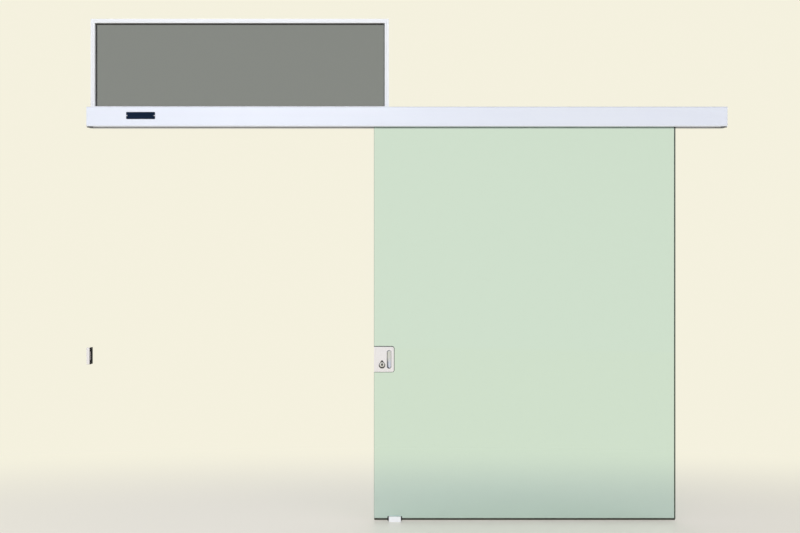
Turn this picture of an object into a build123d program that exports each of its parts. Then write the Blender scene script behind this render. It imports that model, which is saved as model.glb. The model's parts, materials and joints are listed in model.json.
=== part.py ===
from build123d import *
from math import asin, cos, degrees, pi, radians, sin, sqrt
import os

# Power-operated sliding glass door for one leaf, parked open, in millimetres.
# X runs along the header, +Y points into the wall and Z is up.
# The origin is on the floor, at the wall's face, under the middle of the header.
# The leaf runs in front of the wall and closes towards -X.

# Opening: the leaf's width and the header's length follow from it
OPENING_WIDTH = 1797.0
CLEAR_HEIGHT = 2347.0
LEAF_OVERLAP = 22.0
LEAF_SHOWS = 88.0
PARK_ROOM = 304.0

# Header box
HEADER_HEIGHT = 120.0
HEADER_DEPTH = 100.0
CORNER_RADIUS = 8.0
END_CAP = 3.0
COVER_SHEET = 2.0
COVER_LIP = 6.0
COVER_END_GAP = 0.5
END_TO_SIDE_WALL = 2.0
CATCH_LENGTH = 35.0
CATCH_PLATE = 2.0
CATCH_DROP = 4.0
CATCH_RISE = 14.0

# Track extrusion
BACK_WALL = 4.0
FLANGE = 3.0
CHAMBER_DEPTH = 34.0
SHELF_DEPTH = 60.0
SHELF_HEIGHT = 55.0
SHELF_THICKNESS = 5.0
RIB = 4.0
RIB_HEIGHT = 5.0
BULB_RADIUS = 3.0
RAIL_WALL = 2.45
RAIL_FROM_WALL = 52.0
PORT_RADIUS = 2.1
PORT_WALL = 2.5
HINGE_BEAD = 3.0
HINGE_PLAY = 0.08
HINGE_RING = 1.92
HINGE_NECK = 2.4
HINGE_FROM_WALL = 62.0
HINGE_OPENS = 70.0

# Fixings through the back wall
FIXING_RADIUS = 3.25
FIXING_PITCH = 400.0
FIXING_FROM_JAMB = 158.0
FIXING_ROWS = 33.0
FIXING_LIFT = 30.0
SCREW_END = 8.0
SCREW_HEAD = 4.0
SOCKET_ACROSS = 0.65
SOCKET_DEPTH = 0.8

# Beam across the opening
BEAM_OVER_FIXINGS = 26.0
BEAM_HEIGHT = 80.0
BEAM_DEPTH = 60.0
BEAM_WALL = 3.0
BEAM_CORNER = 5.0

# Fixed glass over the opening
TRANSOM_HEIGHT = 552.0
FACE_WIDTH = 25.0
CHANNEL_WALL = 2.5
BEAD_FROM = 13.0
BEAD_WALL = 1.5
BEAD_PROUD = 1.5
BEAD_GAP = 0.3
TRANSOM_GLASS = 10.0
TRANSOM_GLASS_Y = 25.0
TRANSOM_GASKET = 3.0
GASKET_SHOWS = 5.0
GLASS_EDGE = 10.0
BLOCK_LENGTH = 100.0

# Leaf
LEAF_FROM_WALL = 75.0
GLASS = 12.0
FLOOR_GAP = 15.0
ARRIS = 1.0
CLOSING_GAP = 4.5

# Clamp rail along the leaf's top
CLAMP_LIFT = 3.0
GLASS_IN_CLAMP = 20.0
CLAMP_GASKET = 1.5
JAW = 8.0
TONGUE = 8.0
SLOT_BLOCK = 12.0
SLOT_WIDTH = 14.4
SLOT_DEPTH = 6.0
THROAT = 8.4
CLAMP_INSET = 10.0
CLAMP_SCREWS = 8
CLAMP_SCREW_RADIUS = 2.0

# Carriages
CARRIAGE_INSET = 330.0
CARRIAGE_LENGTH = 160.0
CARRIAGE_PLATE = 6.0
CARRIAGE_TOP = 100.0
PLATE_FROM_WALL = 68.0
FOOT_GAP = 6.0
FOOT_DEPTH = 20.0
WHEEL_SPREAD = 50.0
WHEEL_RUN_RADIUS = 17.0
WHEEL_RADIUS = 21.0
WHEEL_WIDTH = 14.0
GROOVE_RADIUS = 6.0
ROLLER_RADIUS = 11.0
ROLLER_WIDTH = 10.0
GUARD_DROP = 11.0
AXLE_RADIUS = 4.0
ROLLER_AXLE_RADIUS = 3.0
RUNNING_PLAY = 0.05
TOUCH_GAP = 0.3
HANGER_SPREAD = 55.0
HANGER_RADIUS = 4.0

# Belt drive
BELT_WIDTH = 12.0
BELT_THICKNESS = 2.4
BELT_FROM_WALL = 85.0
PULLEY_RADIUS = 17.9
PULLEY_TEETH = 24
TOOTH_RADIUS = 1.2
PULLEY_FLANGE = 1.5
FLANGE_RADIUS = 22.5
PULLEY_LIFT = 86.0
DRIVE_INSET = 478.0
IDLER_INSET = 198.0
SHAFT_RADIUS = 5.0
IDLER_PIN_RADIUS = 6.0
IDLER_PLATE_LENGTH = 80.0
IDLER_PLATE = 5.0
IDLER_ARM = 22.0
GEARBOX_LENGTH = 70.0
GEARBOX_HEIGHT = 49.0
GEARBOX_DEPTH = 40.0
NOSE_RADIUS = 15.0
MOTOR_RADIUS = 20.0
MOTOR_LENGTH = 140.0
STOP_LENGTH = 25.0
BUFFER_LENGTH = 8.0
BUFFER_RADIUS = 7.0

# Electrics
UNIT_DEPTH = 40.0
UNIT_HEIGHT = 49.0
CONTROL_INSET = 273.0
CONTROL_LENGTH = 115.0
WINDOW_WIDTH = 34.0
WINDOW_INSET = 12.0
SUPPLY_INSET = 128.0
SUPPLY_LENGTH = 110.0
CABLE_INSET = 143.0
CABLE_RADIUS = 7.0

# Floor guide
GUIDE_LENGTH = 72.0
GUIDE_WIDTH = 48.0
GUIDE_HEIGHT = 30.0
GUIDE_BASE = 5.0
LINER = 2.0
LINER_GAP = 1.0
LINER_OVERHANG = 8.0
GUIDE_HOLE_RADIUS = 3.0
GUIDE_HOLE_PITCH = 36.0

# Patch lock on the leading edge
LOCK_Z = 965.0
PLATE_WIDTH = 119.0
PLATE_HEIGHT = 150.0
PLATE_CORNER = 12.0
FRONT_PLATE = 10.0
BACK_PLATE = 8.0
LOCK_GASKET = 1.0
NOTCH_WIDTH = 90.0
NOTCH_HEIGHT = 120.0
NOTCH_CORNER = 10.0
CASE_WALL = 2.5
CASE_GAP = 2.0
PULL_U = 90.0
PULL_WIDTH = 24.0
PULL_HEIGHT = 108.0
PULL_WALL = 1.2
KEY_U = 48.0
KEY_W = -31.0
ESCUTCHEON = 2.5
CYLINDER_RADIUS = 11.5
CYLINDER_PROUD = 1.5
PLUG_RADIUS = 5.5
SPINDLE_RADIUS = 5.0
TURN_LENGTH = 18.0
HOOK_U = 22.0
HOOK_W = 36.0
HOOK_REACH = 36.0
HOOK_ARM = 14.0
HOOK_NOSE = 5.4
HOOK_RISE = 19.0
HOOK_THICKNESS = 5.0
HOOK_PIN_RADIUS = 3.5
CRANK = 12.0
CRANK_PIN_RADIUS = 2.0
BAR_THICKNESS = 2.6
BAR_WIDTH = 16.0
BAR_SLOT_PLAY = 0.5
LAYER_GAP = 0.4
LOCK_BOSS = 7.2
LOCK_SCREW_RADIUS = 2.4

# Keeper on the side wall
KEEPER_Z = 984.0
KEEPER_WIDTH = 65.0
KEEPER_HEIGHT = 100.0
KEEPER_DEPTH = 18.0
KEEPER_FRONT = 15.0
KEEPER_FACE = 2.0
KEEPER_PAD = 1.5
KEEPER_MOUTH_WIDTH = 14.0
KEEPER_PITCH = 85.0
KEEPER_HOLE_RADIUS = 2.5
LIP_GAP = 2.0

# Levels and planes that follow from the sizes above
HEADER_BOTTOM = CLEAR_HEIGHT
HEADER_TOP = CLEAR_HEIGHT + HEADER_HEIGHT
COVER_FACE = -HEADER_DEPTH
KEEPER_STANDS = KEEPER_DEPTH + KEEPER_PAD
LEAF_WIDTH = OPENING_WIDTH - KEEPER_STANDS - CLOSING_GAP + LEAF_OVERLAP
HEADER_LENGTH = OPENING_WIDTH - END_TO_SIDE_WALL + LEAF_WIDTH - LEAF_SHOWS + PARK_ROOM
HEADER_END = HEADER_LENGTH / 2
SIDE_WALL_X = -HEADER_END - END_TO_SIDE_WALL
JAMB_X = SIDE_WALL_X + OPENING_WIDTH
LEAF_OPEN_X = JAMB_X - LEAF_SHOWS
LEAF_CLOSED_X = SIDE_WALL_X + KEEPER_STANDS + CLOSING_GAP
LEAF_TRAVEL = LEAF_OPEN_X - LEAF_CLOSED_X
TRACK_END = HEADER_END - END_CAP
DRIVE_X = HEADER_END - DRIVE_INSET
IDLER_X = -HEADER_END + IDLER_INSET
CONTROL_X = HEADER_END - CONTROL_INSET
SUPPLY_X = HEADER_END - SUPPLY_INSET
CABLE_X = HEADER_END - CABLE_INSET
SHELF_Z = HEADER_BOTTOM + SHELF_HEIGHT
BULB_Z = SHELF_Z + RIB_HEIGHT
RAIL_Y = -RAIL_FROM_WALL
RAIL_RADIUS = BULB_RADIUS + RAIL_WALL + RUNNING_PLAY
RAIL_TOP = BULB_Z + RAIL_RADIUS
FLANGE_UNDER = HEADER_TOP - FLANGE
GUARD_Z = FLANGE_UNDER - GUARD_DROP
HINGE_Y = -HINGE_FROM_WALL
HINGE_BORE = HINGE_BEAD + HINGE_PLAY
HINGE_OUTER = HINGE_BORE + HINGE_RING
HINGE_Z = HEADER_TOP - HINGE_OUTER
FIXING_Z = SHELF_Z + FIXING_LIFT
BEAM_TOP = FIXING_Z + BEAM_OVER_FIXINGS
TRANSOM_TOP = BEAM_TOP + TRANSOM_HEIGHT
LEAF_Y = -LEAF_FROM_WALL
CLAMP_Z = HEADER_BOTTOM + CLAMP_LIFT
GLASS_TOP = CLAMP_Z + GLASS_IN_CLAMP
CLAMP_HALF = GLASS / 2 + CLAMP_GASKET
TONGUE_Z = GLASS_TOP + 1.0
SLOT_BLOCK_Z = TONGUE_Z + TONGUE
CLAMP_TOP = SLOT_BLOCK_Z + SLOT_BLOCK
FOOT_Z = CLAMP_TOP + FOOT_GAP
FOOT_TOP = FOOT_Z + CARRIAGE_PLATE
PLATE_FRONT = -PLATE_FROM_WALL
PLATE_BACK = PLATE_FRONT + CARRIAGE_PLATE
PLATE_TOP = HEADER_BOTTOM + CARRIAGE_TOP
WHEEL_Z = RAIL_TOP + TOUCH_GAP + WHEEL_RUN_RADIUS
ROLLER_Z = GUARD_Z - TOUCH_GAP - ROLLER_RADIUS
PULLEY_Z = HEADER_BOTTOM + PULLEY_LIFT
BELT_Y = -BELT_FROM_WALL
BELT_INSIDE = PULLEY_RADIUS + TOUCH_GAP
BELT_OUTSIDE = BELT_INSIDE + BELT_THICKNESS
CARRIAGE_XS = (LEAF_OPEN_X + CARRIAGE_INSET, LEAF_OPEN_X + LEAF_WIDTH - CARRIAGE_INSET)
UNIT_BACK = -BACK_WALL
FRONT_PLATE_BACK = LEAF_Y - GLASS / 2 - LOCK_GASKET
BACK_PLATE_FRONT = LEAF_Y + GLASS / 2 + LOCK_GASKET
HOOK_LAYER = FRONT_PLATE_BACK + CASE_WALL + 2 * LAYER_GAP
BAR_LAYER = HOOK_LAYER + HOOK_THICKNESS + LAYER_GAP
CRANK_LIFT = CRANK * sin(pi / 4)


def box(x0, x1, y0, y1, z0, z1):
    size = Box(x1 - x0, y1 - y0, z1 - z0)
    return Pos((x0 + x1) / 2, (y0 + y1) / 2, (z0 + z1) / 2) * size


def rect(a0, a1, b0, b1):
    return Pos((a0 + a1) / 2, (b0 + b1) / 2) * Rectangle(a1 - a0, b1 - b0)


def along_x(section, x0, x1):
    """A section drawn in (y, z), carried from x0 to x1."""
    return Pos(x0, 0, 0) * extrude(Plane.YZ * section, amount=x1 - x0)


def along_y(section, y0, y1):
    """A section drawn in (x, z), carried from y0 to y1."""
    return Pos(0, y1, 0) * extrude(Plane.XZ * section, amount=y1 - y0)


def rod_x(y, z, radius, x0, x1):
    return along_x(Pos(y, z) * Circle(radius), x0, x1)


def rod_y(x, z, radius, y0, y1):
    return along_y(Pos(x, z) * Circle(radius), y0, y1)


def rod_z(x, y, radius, z0, z1):
    return Pos(x, y, z0) * extrude(Circle(radius), amount=z1 - z0)


def hexagon(across):
    return RegularPolygon(across / 2, 6, major_radius=False)


def countersunk_y(x, z, radius, head, y_head, y_tip, socket=False):
    """A screw along Y, or its hole, with a cone head whose flat top is at y_head."""
    turn = 1 if y_tip > y_head else -1
    reach = abs(y_tip - y_head)
    outline = Polyline((0, 0), (head, 0), (radius, head - radius), (radius, reach), (0, reach), close=True)
    screw = revolve(make_face(outline), axis=Axis.Y)
    if socket:
        screw -= along_y(hexagon(SOCKET_ACROSS * head), -1, SOCKET_DEPTH * radius)
    if turn < 0:
        screw = mirror(screw, about=Plane.XZ)
    return Pos(x, y_head, z) * screw


def countersunk_x(y, z, radius, head, x_head, x_tip, socket=False):
    """A screw along X, or its hole, with a cone head whose flat top is at x_head."""
    turn = 1 if x_tip > x_head else -1
    reach = abs(x_tip - x_head)
    outline = Polyline((0, 0), (0, head), (head - radius, radius), (reach, radius), (reach, 0), close=True)
    screw = revolve(make_face(outline), axis=Axis.X)
    if socket:
        screw -= along_x(hexagon(SOCKET_ACROSS * head), -1, SOCKET_DEPTH * radius)
    if turn < 0:
        screw = mirror(screw, about=Plane.YZ)
    return Pos(x_head, y, z) * screw


def hex_y(x, z, across, y0, y1):
    return along_y(Pos(x, z) * hexagon(across), y0, y1)


def hex_z(x, y, across, z0, z1):
    return Pos(x, y, z0) * extrude(hexagon(across), amount=z1 - z0)


def group(solids):
    return Compound(children=[solid for part in solids for solid in part.solids()])


# Header

def header_outline(inset=0.0, radius=CORNER_RADIUS):
    """The header's section in (y, z), with its two front corners rounded."""
    face = rect(COVER_FACE + inset, 0, HEADER_BOTTOM + inset, HEADER_TOP - inset)
    front = face.vertices().sort_by(Axis.X)[:2]
    return fillet(front, radius - inset)


def screw_ports():
    """Centres, in (y, z), of the round ports that take the end caps' screws."""
    boss = PORT_RADIUS + PORT_WALL
    back = -BACK_WALL - boss + 1.0
    under_shelf = SHELF_Z - SHELF_THICKNESS
    return [
        (back, FLANGE_UNDER - boss + 1.0),
        (back, under_shelf - boss + 1.0),
        (back, HEADER_BOTTOM + FLANGE + boss - 1.0),
        (-CHAMBER_DEPTH + FLANGE + boss - 1.0, HEADER_BOTTOM + FLANGE + boss - 1.0),
    ]


def track_section():
    web_y = -CHAMBER_DEPTH
    riser_front = RAIL_Y - RIB / 2
    riser_back = RAIL_Y + RIB / 2
    section = rect(-BACK_WALL, 0, HEADER_BOTTOM, HEADER_TOP)
    section += rect(web_y, 0, HEADER_BOTTOM, HEADER_BOTTOM + FLANGE)
    section += rect(web_y, web_y + FLANGE, HEADER_BOTTOM, SHELF_Z)
    section += rect(-SHELF_DEPTH, 0, SHELF_Z - SHELF_THICKNESS, SHELF_Z)
    section += rect(riser_front, riser_back, SHELF_Z - 1, BULB_Z)
    section += Pos(RAIL_Y, BULB_Z) * Circle(BULB_RADIUS)
    section += rect(riser_front, 0, FLANGE_UNDER, HEADER_TOP)
    section += rect(riser_front, riser_back, GUARD_Z, HEADER_TOP)
    section += rect(HINGE_Y, riser_back, HINGE_Z - HINGE_NECK / 2, HINGE_Z + HINGE_NECK / 2)
    section += Pos(HINGE_Y, HINGE_Z) * Circle(HINGE_BEAD)
    for y, z in screw_ports():
        section += Pos(y, z) * Circle(PORT_RADIUS + PORT_WALL)
    for y, z in screw_ports():
        section -= Pos(y, z) * Circle(PORT_RADIUS)
    return section


def wall_columns():
    """Fixings into the wall, from the jamb to the gearbox."""
    first = JAMB_X + FIXING_FROM_JAMB
    room = DRIVE_X - GEARBOX_LENGTH / 2 - first
    return [first + FIXING_PITCH * n for n in range(int(room / FIXING_PITCH) + 1)]


def beam_columns():
    """Fixings into the beam, at the same pitch as far as the side wall."""
    first = JAMB_X + FIXING_FROM_JAMB - FIXING_PITCH
    room = first - SIDE_WALL_X
    return [first - FIXING_PITCH * n for n in range(int(room / FIXING_PITCH) + 1)]


def fixing_points(columns):
    half = FIXING_ROWS / 2
    return [(x, FIXING_Z + side * half) for x in columns for side in (-1, 1)]


def track_profile():
    track = along_x(track_section(), -TRACK_END, TRACK_END)
    for x, z in fixing_points(beam_columns() + wall_columns()):
        track -= rod_y(x, z, FIXING_RADIUS, -BACK_WALL - 1, 1)
    track -= rod_y(CABLE_X, PULLEY_Z, CABLE_RADIUS + 3, -BACK_WALL - 1, 1)
    return track


def beam_screws():
    """Pan heads inside the header, shanks through its back into the beam."""
    screws = []
    top, radius = -BACK_WALL - SCREW_HEAD, 2 * FIXING_RADIUS
    for x, z in fixing_points(beam_columns()):
        shank = rod_y(x, z, FIXING_RADIUS - 0.2, -BACK_WALL - 1, BEAM_WALL + SCREW_END)
        head = fillet(rod_y(x, z, radius, top, -BACK_WALL).edges().sort_by(Axis.Y)[0], 1.5)
        head -= hex_y(x, z, SOCKET_ACROSS * radius, top - 1, top + SOCKET_DEPTH * FIXING_RADIUS)
        screws.append(head + shank)
    return group(screws)


def support_beam():
    low, high = BEAM_TOP - BEAM_HEIGHT, BEAM_TOP
    middle = Pos(BEAM_DEPTH / 2, (low + high) / 2)
    tube = middle * RectangleRounded(BEAM_DEPTH, BEAM_HEIGHT, BEAM_CORNER)
    inside_corner = BEAM_CORNER - BEAM_WALL
    tube -= middle * RectangleRounded(BEAM_DEPTH - 2 * BEAM_WALL, BEAM_HEIGHT - 2 * BEAM_WALL, inside_corner)
    beam = along_x(tube, SIDE_WALL_X, JAMB_X)
    for x, z in fixing_points(beam_columns()):
        beam -= rod_y(x, z, FIXING_RADIUS - 0.1, -1, BEAM_WALL + 1)
    return beam


def running_rail():
    """The snap-on strip that the wheels run on, closed round the track's bulb."""
    strip = Pos(RAIL_Y, BULB_Z) * Circle(RAIL_RADIUS)
    strip -= Pos(RAIL_Y, BULB_Z) * Circle(BULB_RADIUS + RUNNING_PLAY)
    mouth = RIB / 2 + RUNNING_PLAY
    strip -= rect(RAIL_Y - mouth, RAIL_Y + mouth, BULB_Z - 2 * RAIL_RADIUS, BULB_Z)
    left, right = stop_spans()
    strip -= rect(RAIL_Y - 10, RAIL_Y + 10, SHELF_Z - 10, SHELF_Z)
    return along_x(strip, left[0] - 5, right[1] + 5)


def end_cap(side):
    cap = along_x(header_outline(), TRACK_END, TRACK_END + END_CAP)
    for y, z in screw_ports():
        cap -= countersunk_x(y, z, PORT_RADIUS, 2 * PORT_RADIUS, TRACK_END + END_CAP, TRACK_END - 1)
    return cap if side > 0 else mirror(cap, about=Plane.YZ)


def end_screws():
    screws = []
    for y, z in screw_ports():
        x_head = TRACK_END + END_CAP
        radius = PORT_RADIUS - 0.1
        screws.append(countersunk_x(y, z, radius, radius + PORT_RADIUS, x_head, x_head - 18, socket=True))
    return group(screws + [mirror(screw, about=Plane.YZ) for screw in screws])


def cover_catches():
    """Black clips at both ends that the closed cover's lip rests on."""
    behind = COVER_FACE + COVER_LIP + 0.5
    front, low = COVER_FACE + COVER_SHEET, HEADER_BOTTOM - CATCH_DROP
    section = rect(front, behind + CATCH_PLATE, low, HEADER_BOTTOM - TOUCH_GAP)
    section += rect(behind, behind + CATCH_PLATE, low, HEADER_BOTTOM + CATCH_RISE)
    clip = along_x(section, TRACK_END - CATCH_LENGTH, TRACK_END)
    return group([clip, mirror(clip, about=Plane.YZ)])


def header_cover():
    """Front sheet with rounded edges, a lip below and a hook round the hinge bead above."""
    inner = header_outline(COVER_SHEET)
    section = header_outline() - inner
    lip_end = COVER_FACE + COVER_LIP
    section -= rect(lip_end, 1, HEADER_BOTTOM - 1, HEADER_BOTTOM + HEADER_HEIGHT / 2)
    section -= rect(HINGE_Y - 0.8, 1, HEADER_BOTTOM, HEADER_TOP + 1)
    hook = Circle(HINGE_OUTER) - Circle(HINGE_BORE)
    half = degrees(asin(HINGE_NECK / 2 / HINGE_BORE)) + 5
    reach = 2 * HINGE_OUTER
    mouth = [(0, 0)]
    for angle in (-half, (HINGE_OPENS) / 2, HINGE_OPENS + half):
        mouth.append((reach * cos(radians(angle)), reach * sin(radians(angle))))
    hook -= make_face(Polyline(*mouth, close=True))
    section += Pos(HINGE_Y, HINGE_Z) * hook
    half_length = TRACK_END - COVER_END_GAP
    return along_x(section, -half_length, half_length)


# Belt drive and electrics

def pulley_side_faces():
    half = BELT_WIDTH / 2 + 0.5
    return BELT_Y - half, BELT_Y + half


def pulley_wheel(x):
    """A toothed pulley with a flange on each side."""
    front, back = pulley_side_faces()
    rim = Circle(PULLEY_RADIUS)
    rim -= PolarLocations(PULLEY_RADIUS, PULLEY_TEETH) * Circle(TOOTH_RADIUS)
    wheel = along_y(Pos(x, PULLEY_Z) * rim, front, back)
    wheel += rod_y(x, PULLEY_Z, FLANGE_RADIUS, front - PULLEY_FLANGE, front)
    wheel += rod_y(x, PULLEY_Z, FLANGE_RADIUS, back, back + PULLEY_FLANGE)
    return wheel


def drive_pulley():
    front, back = pulley_side_faces()
    wheel = pulley_wheel(DRIVE_X)
    wheel += rod_y(DRIVE_X, PULLEY_Z, SHAFT_RADIUS, front, UNIT_BACK - GEARBOX_DEPTH - 4)
    wheel += hex_y(DRIVE_X, PULLEY_Z, 13, front - PULLEY_FLANGE - 2.5, front)
    return wheel


def idler_pulley():
    front, back = pulley_side_faces()
    wheel = pulley_wheel(IDLER_X)
    bore = IDLER_PIN_RADIUS + RUNNING_PLAY
    return wheel - rod_y(IDLER_X, PULLEY_Z, bore, front - PULLEY_FLANGE - 1, back + PULLEY_FLANGE + 1)


def toothed_belt():
    middle = Pos((DRIVE_X + IDLER_X) / 2, PULLEY_Z)
    span = DRIVE_X - IDLER_X
    loop = middle * SlotCenterToCenter(span, 2 * BELT_OUTSIDE)
    loop -= middle * SlotCenterToCenter(span, 2 * BELT_INSIDE)
    return along_y(loop, BELT_Y - BELT_WIDTH / 2, BELT_Y + BELT_WIDTH / 2)


def drive_gearbox():
    """Worm gearbox: ribbed block on the back wall and a nose that reaches past the rail."""
    back = UNIT_BACK
    front = back - GEARBOX_DEPTH
    left, right = DRIVE_X - GEARBOX_LENGTH / 2, DRIVE_X + GEARBOX_LENGTH / 2
    low, high = PULLEY_Z - GEARBOX_HEIGHT / 2 - 3, PULLEY_Z + GEARBOX_HEIGHT / 2 - 3
    block = box(left, right, front, back, low, high)
    block = fillet(block.edges().filter_by(Axis.Y), 5)
    for n in range(4):
        x = left + GEARBOX_LENGTH * (n + 1) / 5
        block -= box(x - 2, x + 2, front - 1, front + 2, low - 1, PULLEY_Z - NOSE_RADIUS - 2)
    nose_end = pulley_side_faces()[1] + PULLEY_FLANGE + 3
    block += rod_y(DRIVE_X, PULLEY_Z, NOSE_RADIUS, nose_end, front + 1)
    return block - rod_y(DRIVE_X, PULLEY_Z, SHAFT_RADIUS + RUNNING_PLAY, nose_end - 1, front - 3.5)


def drive_motor():
    """Round motor along X, with a stepped end bell and two brush caps."""
    start = DRIVE_X + GEARBOX_LENGTH / 2
    y = UNIT_BACK - 2 - MOTOR_RADIUS
    outline = Polyline(
        (0, 0), (0, MOTOR_RADIUS), (8, MOTOR_RADIUS), (8, MOTOR_RADIUS - 1.5), (12, MOTOR_RADIUS - 1.5),
        (12, MOTOR_RADIUS), (MOTOR_LENGTH - 18, MOTOR_RADIUS), (MOTOR_LENGTH - 16, MOTOR_RADIUS - 2),
        (MOTOR_LENGTH - 4, MOTOR_RADIUS - 2), (MOTOR_LENGTH, MOTOR_RADIUS - 6), (MOTOR_LENGTH, 0),
        close=True)
    motor = Pos(start, y, PULLEY_Z) * revolve(make_face(outline), axis=Axis.X)
    cap_x = start + MOTOR_LENGTH - 24
    for side in (-1, 1):
        low = PULLEY_Z + side * (MOTOR_RADIUS - 4)
        high = PULLEY_Z + side * (MOTOR_RADIUS + 1)
        motor += rod_z(cap_x, y, 4, min(low, high), max(low, high))
    return motor


def idler_bracket():
    """Slotted plate on the back wall, an arm past the rail and the idler's riveted pin."""
    back = UNIT_BACK
    low, high = PULLEY_Z - UNIT_HEIGHT / 2 - 3, PULLEY_Z + UNIT_HEIGHT / 2 - 3
    plate_half, arm_half = IDLER_PLATE_LENGTH / 2, IDLER_ARM / 2
    plate = box(IDLER_X - plate_half, IDLER_X + plate_half, back - IDLER_PLATE, back, low, high)
    plate = fillet(plate.edges().filter_by(Axis.Y), 4)
    for side in (-1, 1):
        slot_x = IDLER_X + side * (plate_half + arm_half) / 2
        slot = Pos(slot_x, (low + high) / 2) * SlotOverall(18, 2 * FIXING_RADIUS)
        plate -= along_y(slot, back - IDLER_PLATE - 1, back + 1)
    front, rear = pulley_side_faces()
    arm_end = rear + PULLEY_FLANGE + 3
    arm = along_y(Pos(IDLER_X, PULLEY_Z) * Rectangle(IDLER_ARM, IDLER_ARM), arm_end, back - 1)
    arm = fillet(arm.edges().filter_by(Axis.Y), 3)
    pin = rod_y(IDLER_X, PULLEY_Z, IDLER_PIN_RADIUS, front - PULLEY_FLANGE - 0.8, arm_end + 1)
    pin += rod_y(IDLER_X, PULLEY_Z, IDLER_PIN_RADIUS + 2.5, front - PULLEY_FLANGE - 2.3, front - PULLEY_FLANGE - 0.5)
    pin += rod_y(IDLER_X, PULLEY_Z, IDLER_PIN_RADIUS + 2.5, rear + PULLEY_FLANGE + 0.5, arm_end + 1)
    return plate + arm + pin


def housing(x, length):
    """An electric unit's case on the back wall, with a lid seam and cooling fins above."""
    low, high = PULLEY_Z - UNIT_HEIGHT / 2 - 3, PULLEY_Z + UNIT_HEIGHT / 2 - 3
    front, back = UNIT_BACK - UNIT_DEPTH, UNIT_BACK
    case = box(x, x + length, front, back, low, high)
    case = fillet(case.edges().filter_by(Axis.Y), 3)
    seam = box(x - 1, x + length + 1, front + 8, front + 9, low - 1, high + 1)
    core = box(x + 0.8, x + length - 0.8, front, back, low + 0.8, high - 0.8)
    return case - (seam - core)


def control_unit():
    """Control unit with a row of plug sockets, two buttons and a small display window."""
    case = housing(CONTROL_X, CONTROL_LENGTH)
    front = UNIT_BACK - UNIT_DEPTH
    for n in range(6):
        x = CONTROL_X + 10 + n * (CONTROL_LENGTH - 20) / 6
        case -= box(x, x + 11, front - 1, front + 5, PULLEY_Z - 22, PULLEY_Z - 12)
    for n in range(2):
        case += rod_y(CONTROL_X + 18 + 14 * n, PULLEY_Z + 8, 4, front - 1.5, front + 1)
    window = CONTROL_X + CONTROL_LENGTH - WINDOW_INSET
    return case - box(window - WINDOW_WIDTH, window, front - 1, front + 1, PULLEY_Z + 1, PULLEY_Z + 14)


def power_supply():
    """Power supply with a slotted vent in its front."""
    case = housing(SUPPLY_X, SUPPLY_LENGTH)
    front = UNIT_BACK - UNIT_DEPTH
    for n in range(9):
        x = SUPPLY_X + 15 + n * (SUPPLY_LENGTH - 30) / 8
        case -= box(x - 1.5, x + 1.5, front - 1, front + 3, PULLEY_Z - 18, PULLEY_Z + 12)
    return case


def cable_grommet():
    """Round rubber grommet in the back wall, where the supply cable comes in."""
    neck = CABLE_RADIUS + 3
    front = -BACK_WALL - 2
    ring = rod_y(CABLE_X, PULLEY_Z, neck + 2.5, front, -BACK_WALL)
    ring += rod_y(CABLE_X, PULLEY_Z, neck, front, 0)
    return ring - rod_y(CABLE_X, PULLEY_Z, CABLE_RADIUS, front - 1, 1)


def stop_spans():
    """The two stop blocks' ranges along X: the carriages meet their buffers there."""
    gap = BUFFER_LENGTH + TOUCH_GAP
    left = CARRIAGE_XS[0] - CARRIAGE_LENGTH / 2 - LEAF_TRAVEL - gap
    right = CARRIAGE_XS[1] + CARRIAGE_LENGTH / 2 + gap
    return (left - STOP_LENGTH, left), (right, right + STOP_LENGTH)


def rail_stops():
    """Blocks clamped over the running rail, one past each end of the carriages' way."""
    stops = []
    top = PULLEY_Z + 7
    for x0, x1 in stop_spans():
        block = box(x0, x1, PLATE_FRONT - 2, RAIL_Y + 8, SHELF_Z, top)
        block = fillet(block.edges().filter_by(Axis.X).sort_by(Axis.Z)[-2:], 3)
        way = RAIL_RADIUS + 0.5
        block -= box(x0 - 1, x1 + 1, RAIL_Y - way, RAIL_Y + way, SHELF_Z - 1, RAIL_TOP + 0.5)
        block -= rod_z((x0 + x1) / 2, RAIL_Y, 4, top - 4, top + 1)
        stops.append(block)
    return group(stops)


def stop_buffers():
    """Rubber cones on the stops, in line with the carriage plates."""
    y = (PLATE_FRONT + PLATE_BACK) / 2
    z = PULLEY_Z - 8
    outline = Polyline(
        (0, 0), (0, BUFFER_RADIUS), (BUFFER_LENGTH - 3, BUFFER_RADIUS), (BUFFER_LENGTH, BUFFER_RADIUS - 3),
        (BUFFER_LENGTH, 0), close=True)
    cone = revolve(make_face(outline), axis=Axis.X)
    left, right = stop_spans()
    return group([Pos(left[1], y, z) * cone, Pos(right[0], y, z) * mirror(cone, about=Plane.YZ)])


# Transom

def transom_centre():
    return (SIDE_WALL_X + JAMB_X) / 2, (BEAM_TOP + TRANSOM_TOP) / 2


def transom_halves():
    return (JAMB_X - SIDE_WALL_X) / 2, (TRANSOM_TOP - BEAM_TOP) / 2


def channel_section():
    """Channel in (y, -distance in from the frame's outer edge): open at the front for the bead."""
    stop = TRANSOM_GLASS_Y + TRANSOM_GLASS + TRANSOM_GASKET
    wall = CHANNEL_WALL
    section = rect(0, BEAM_DEPTH, -wall, 0)
    section += rect(0, wall, -BEAD_FROM, 0)
    section += rect(stop, stop + wall, -FACE_WIDTH, 0)
    section += rect(BEAM_DEPTH - wall, BEAM_DEPTH, -FACE_WIDTH, 0)
    section += rect(stop, BEAM_DEPTH, -FACE_WIDTH, -FACE_WIDTH + wall)
    catch = bead_back() - BEAD_WALL
    return section + rect(catch - 0.2, catch + 1.3, -7, 0)


def bead_back():
    return TRANSOM_GLASS_Y - TRANSOM_GASKET


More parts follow.
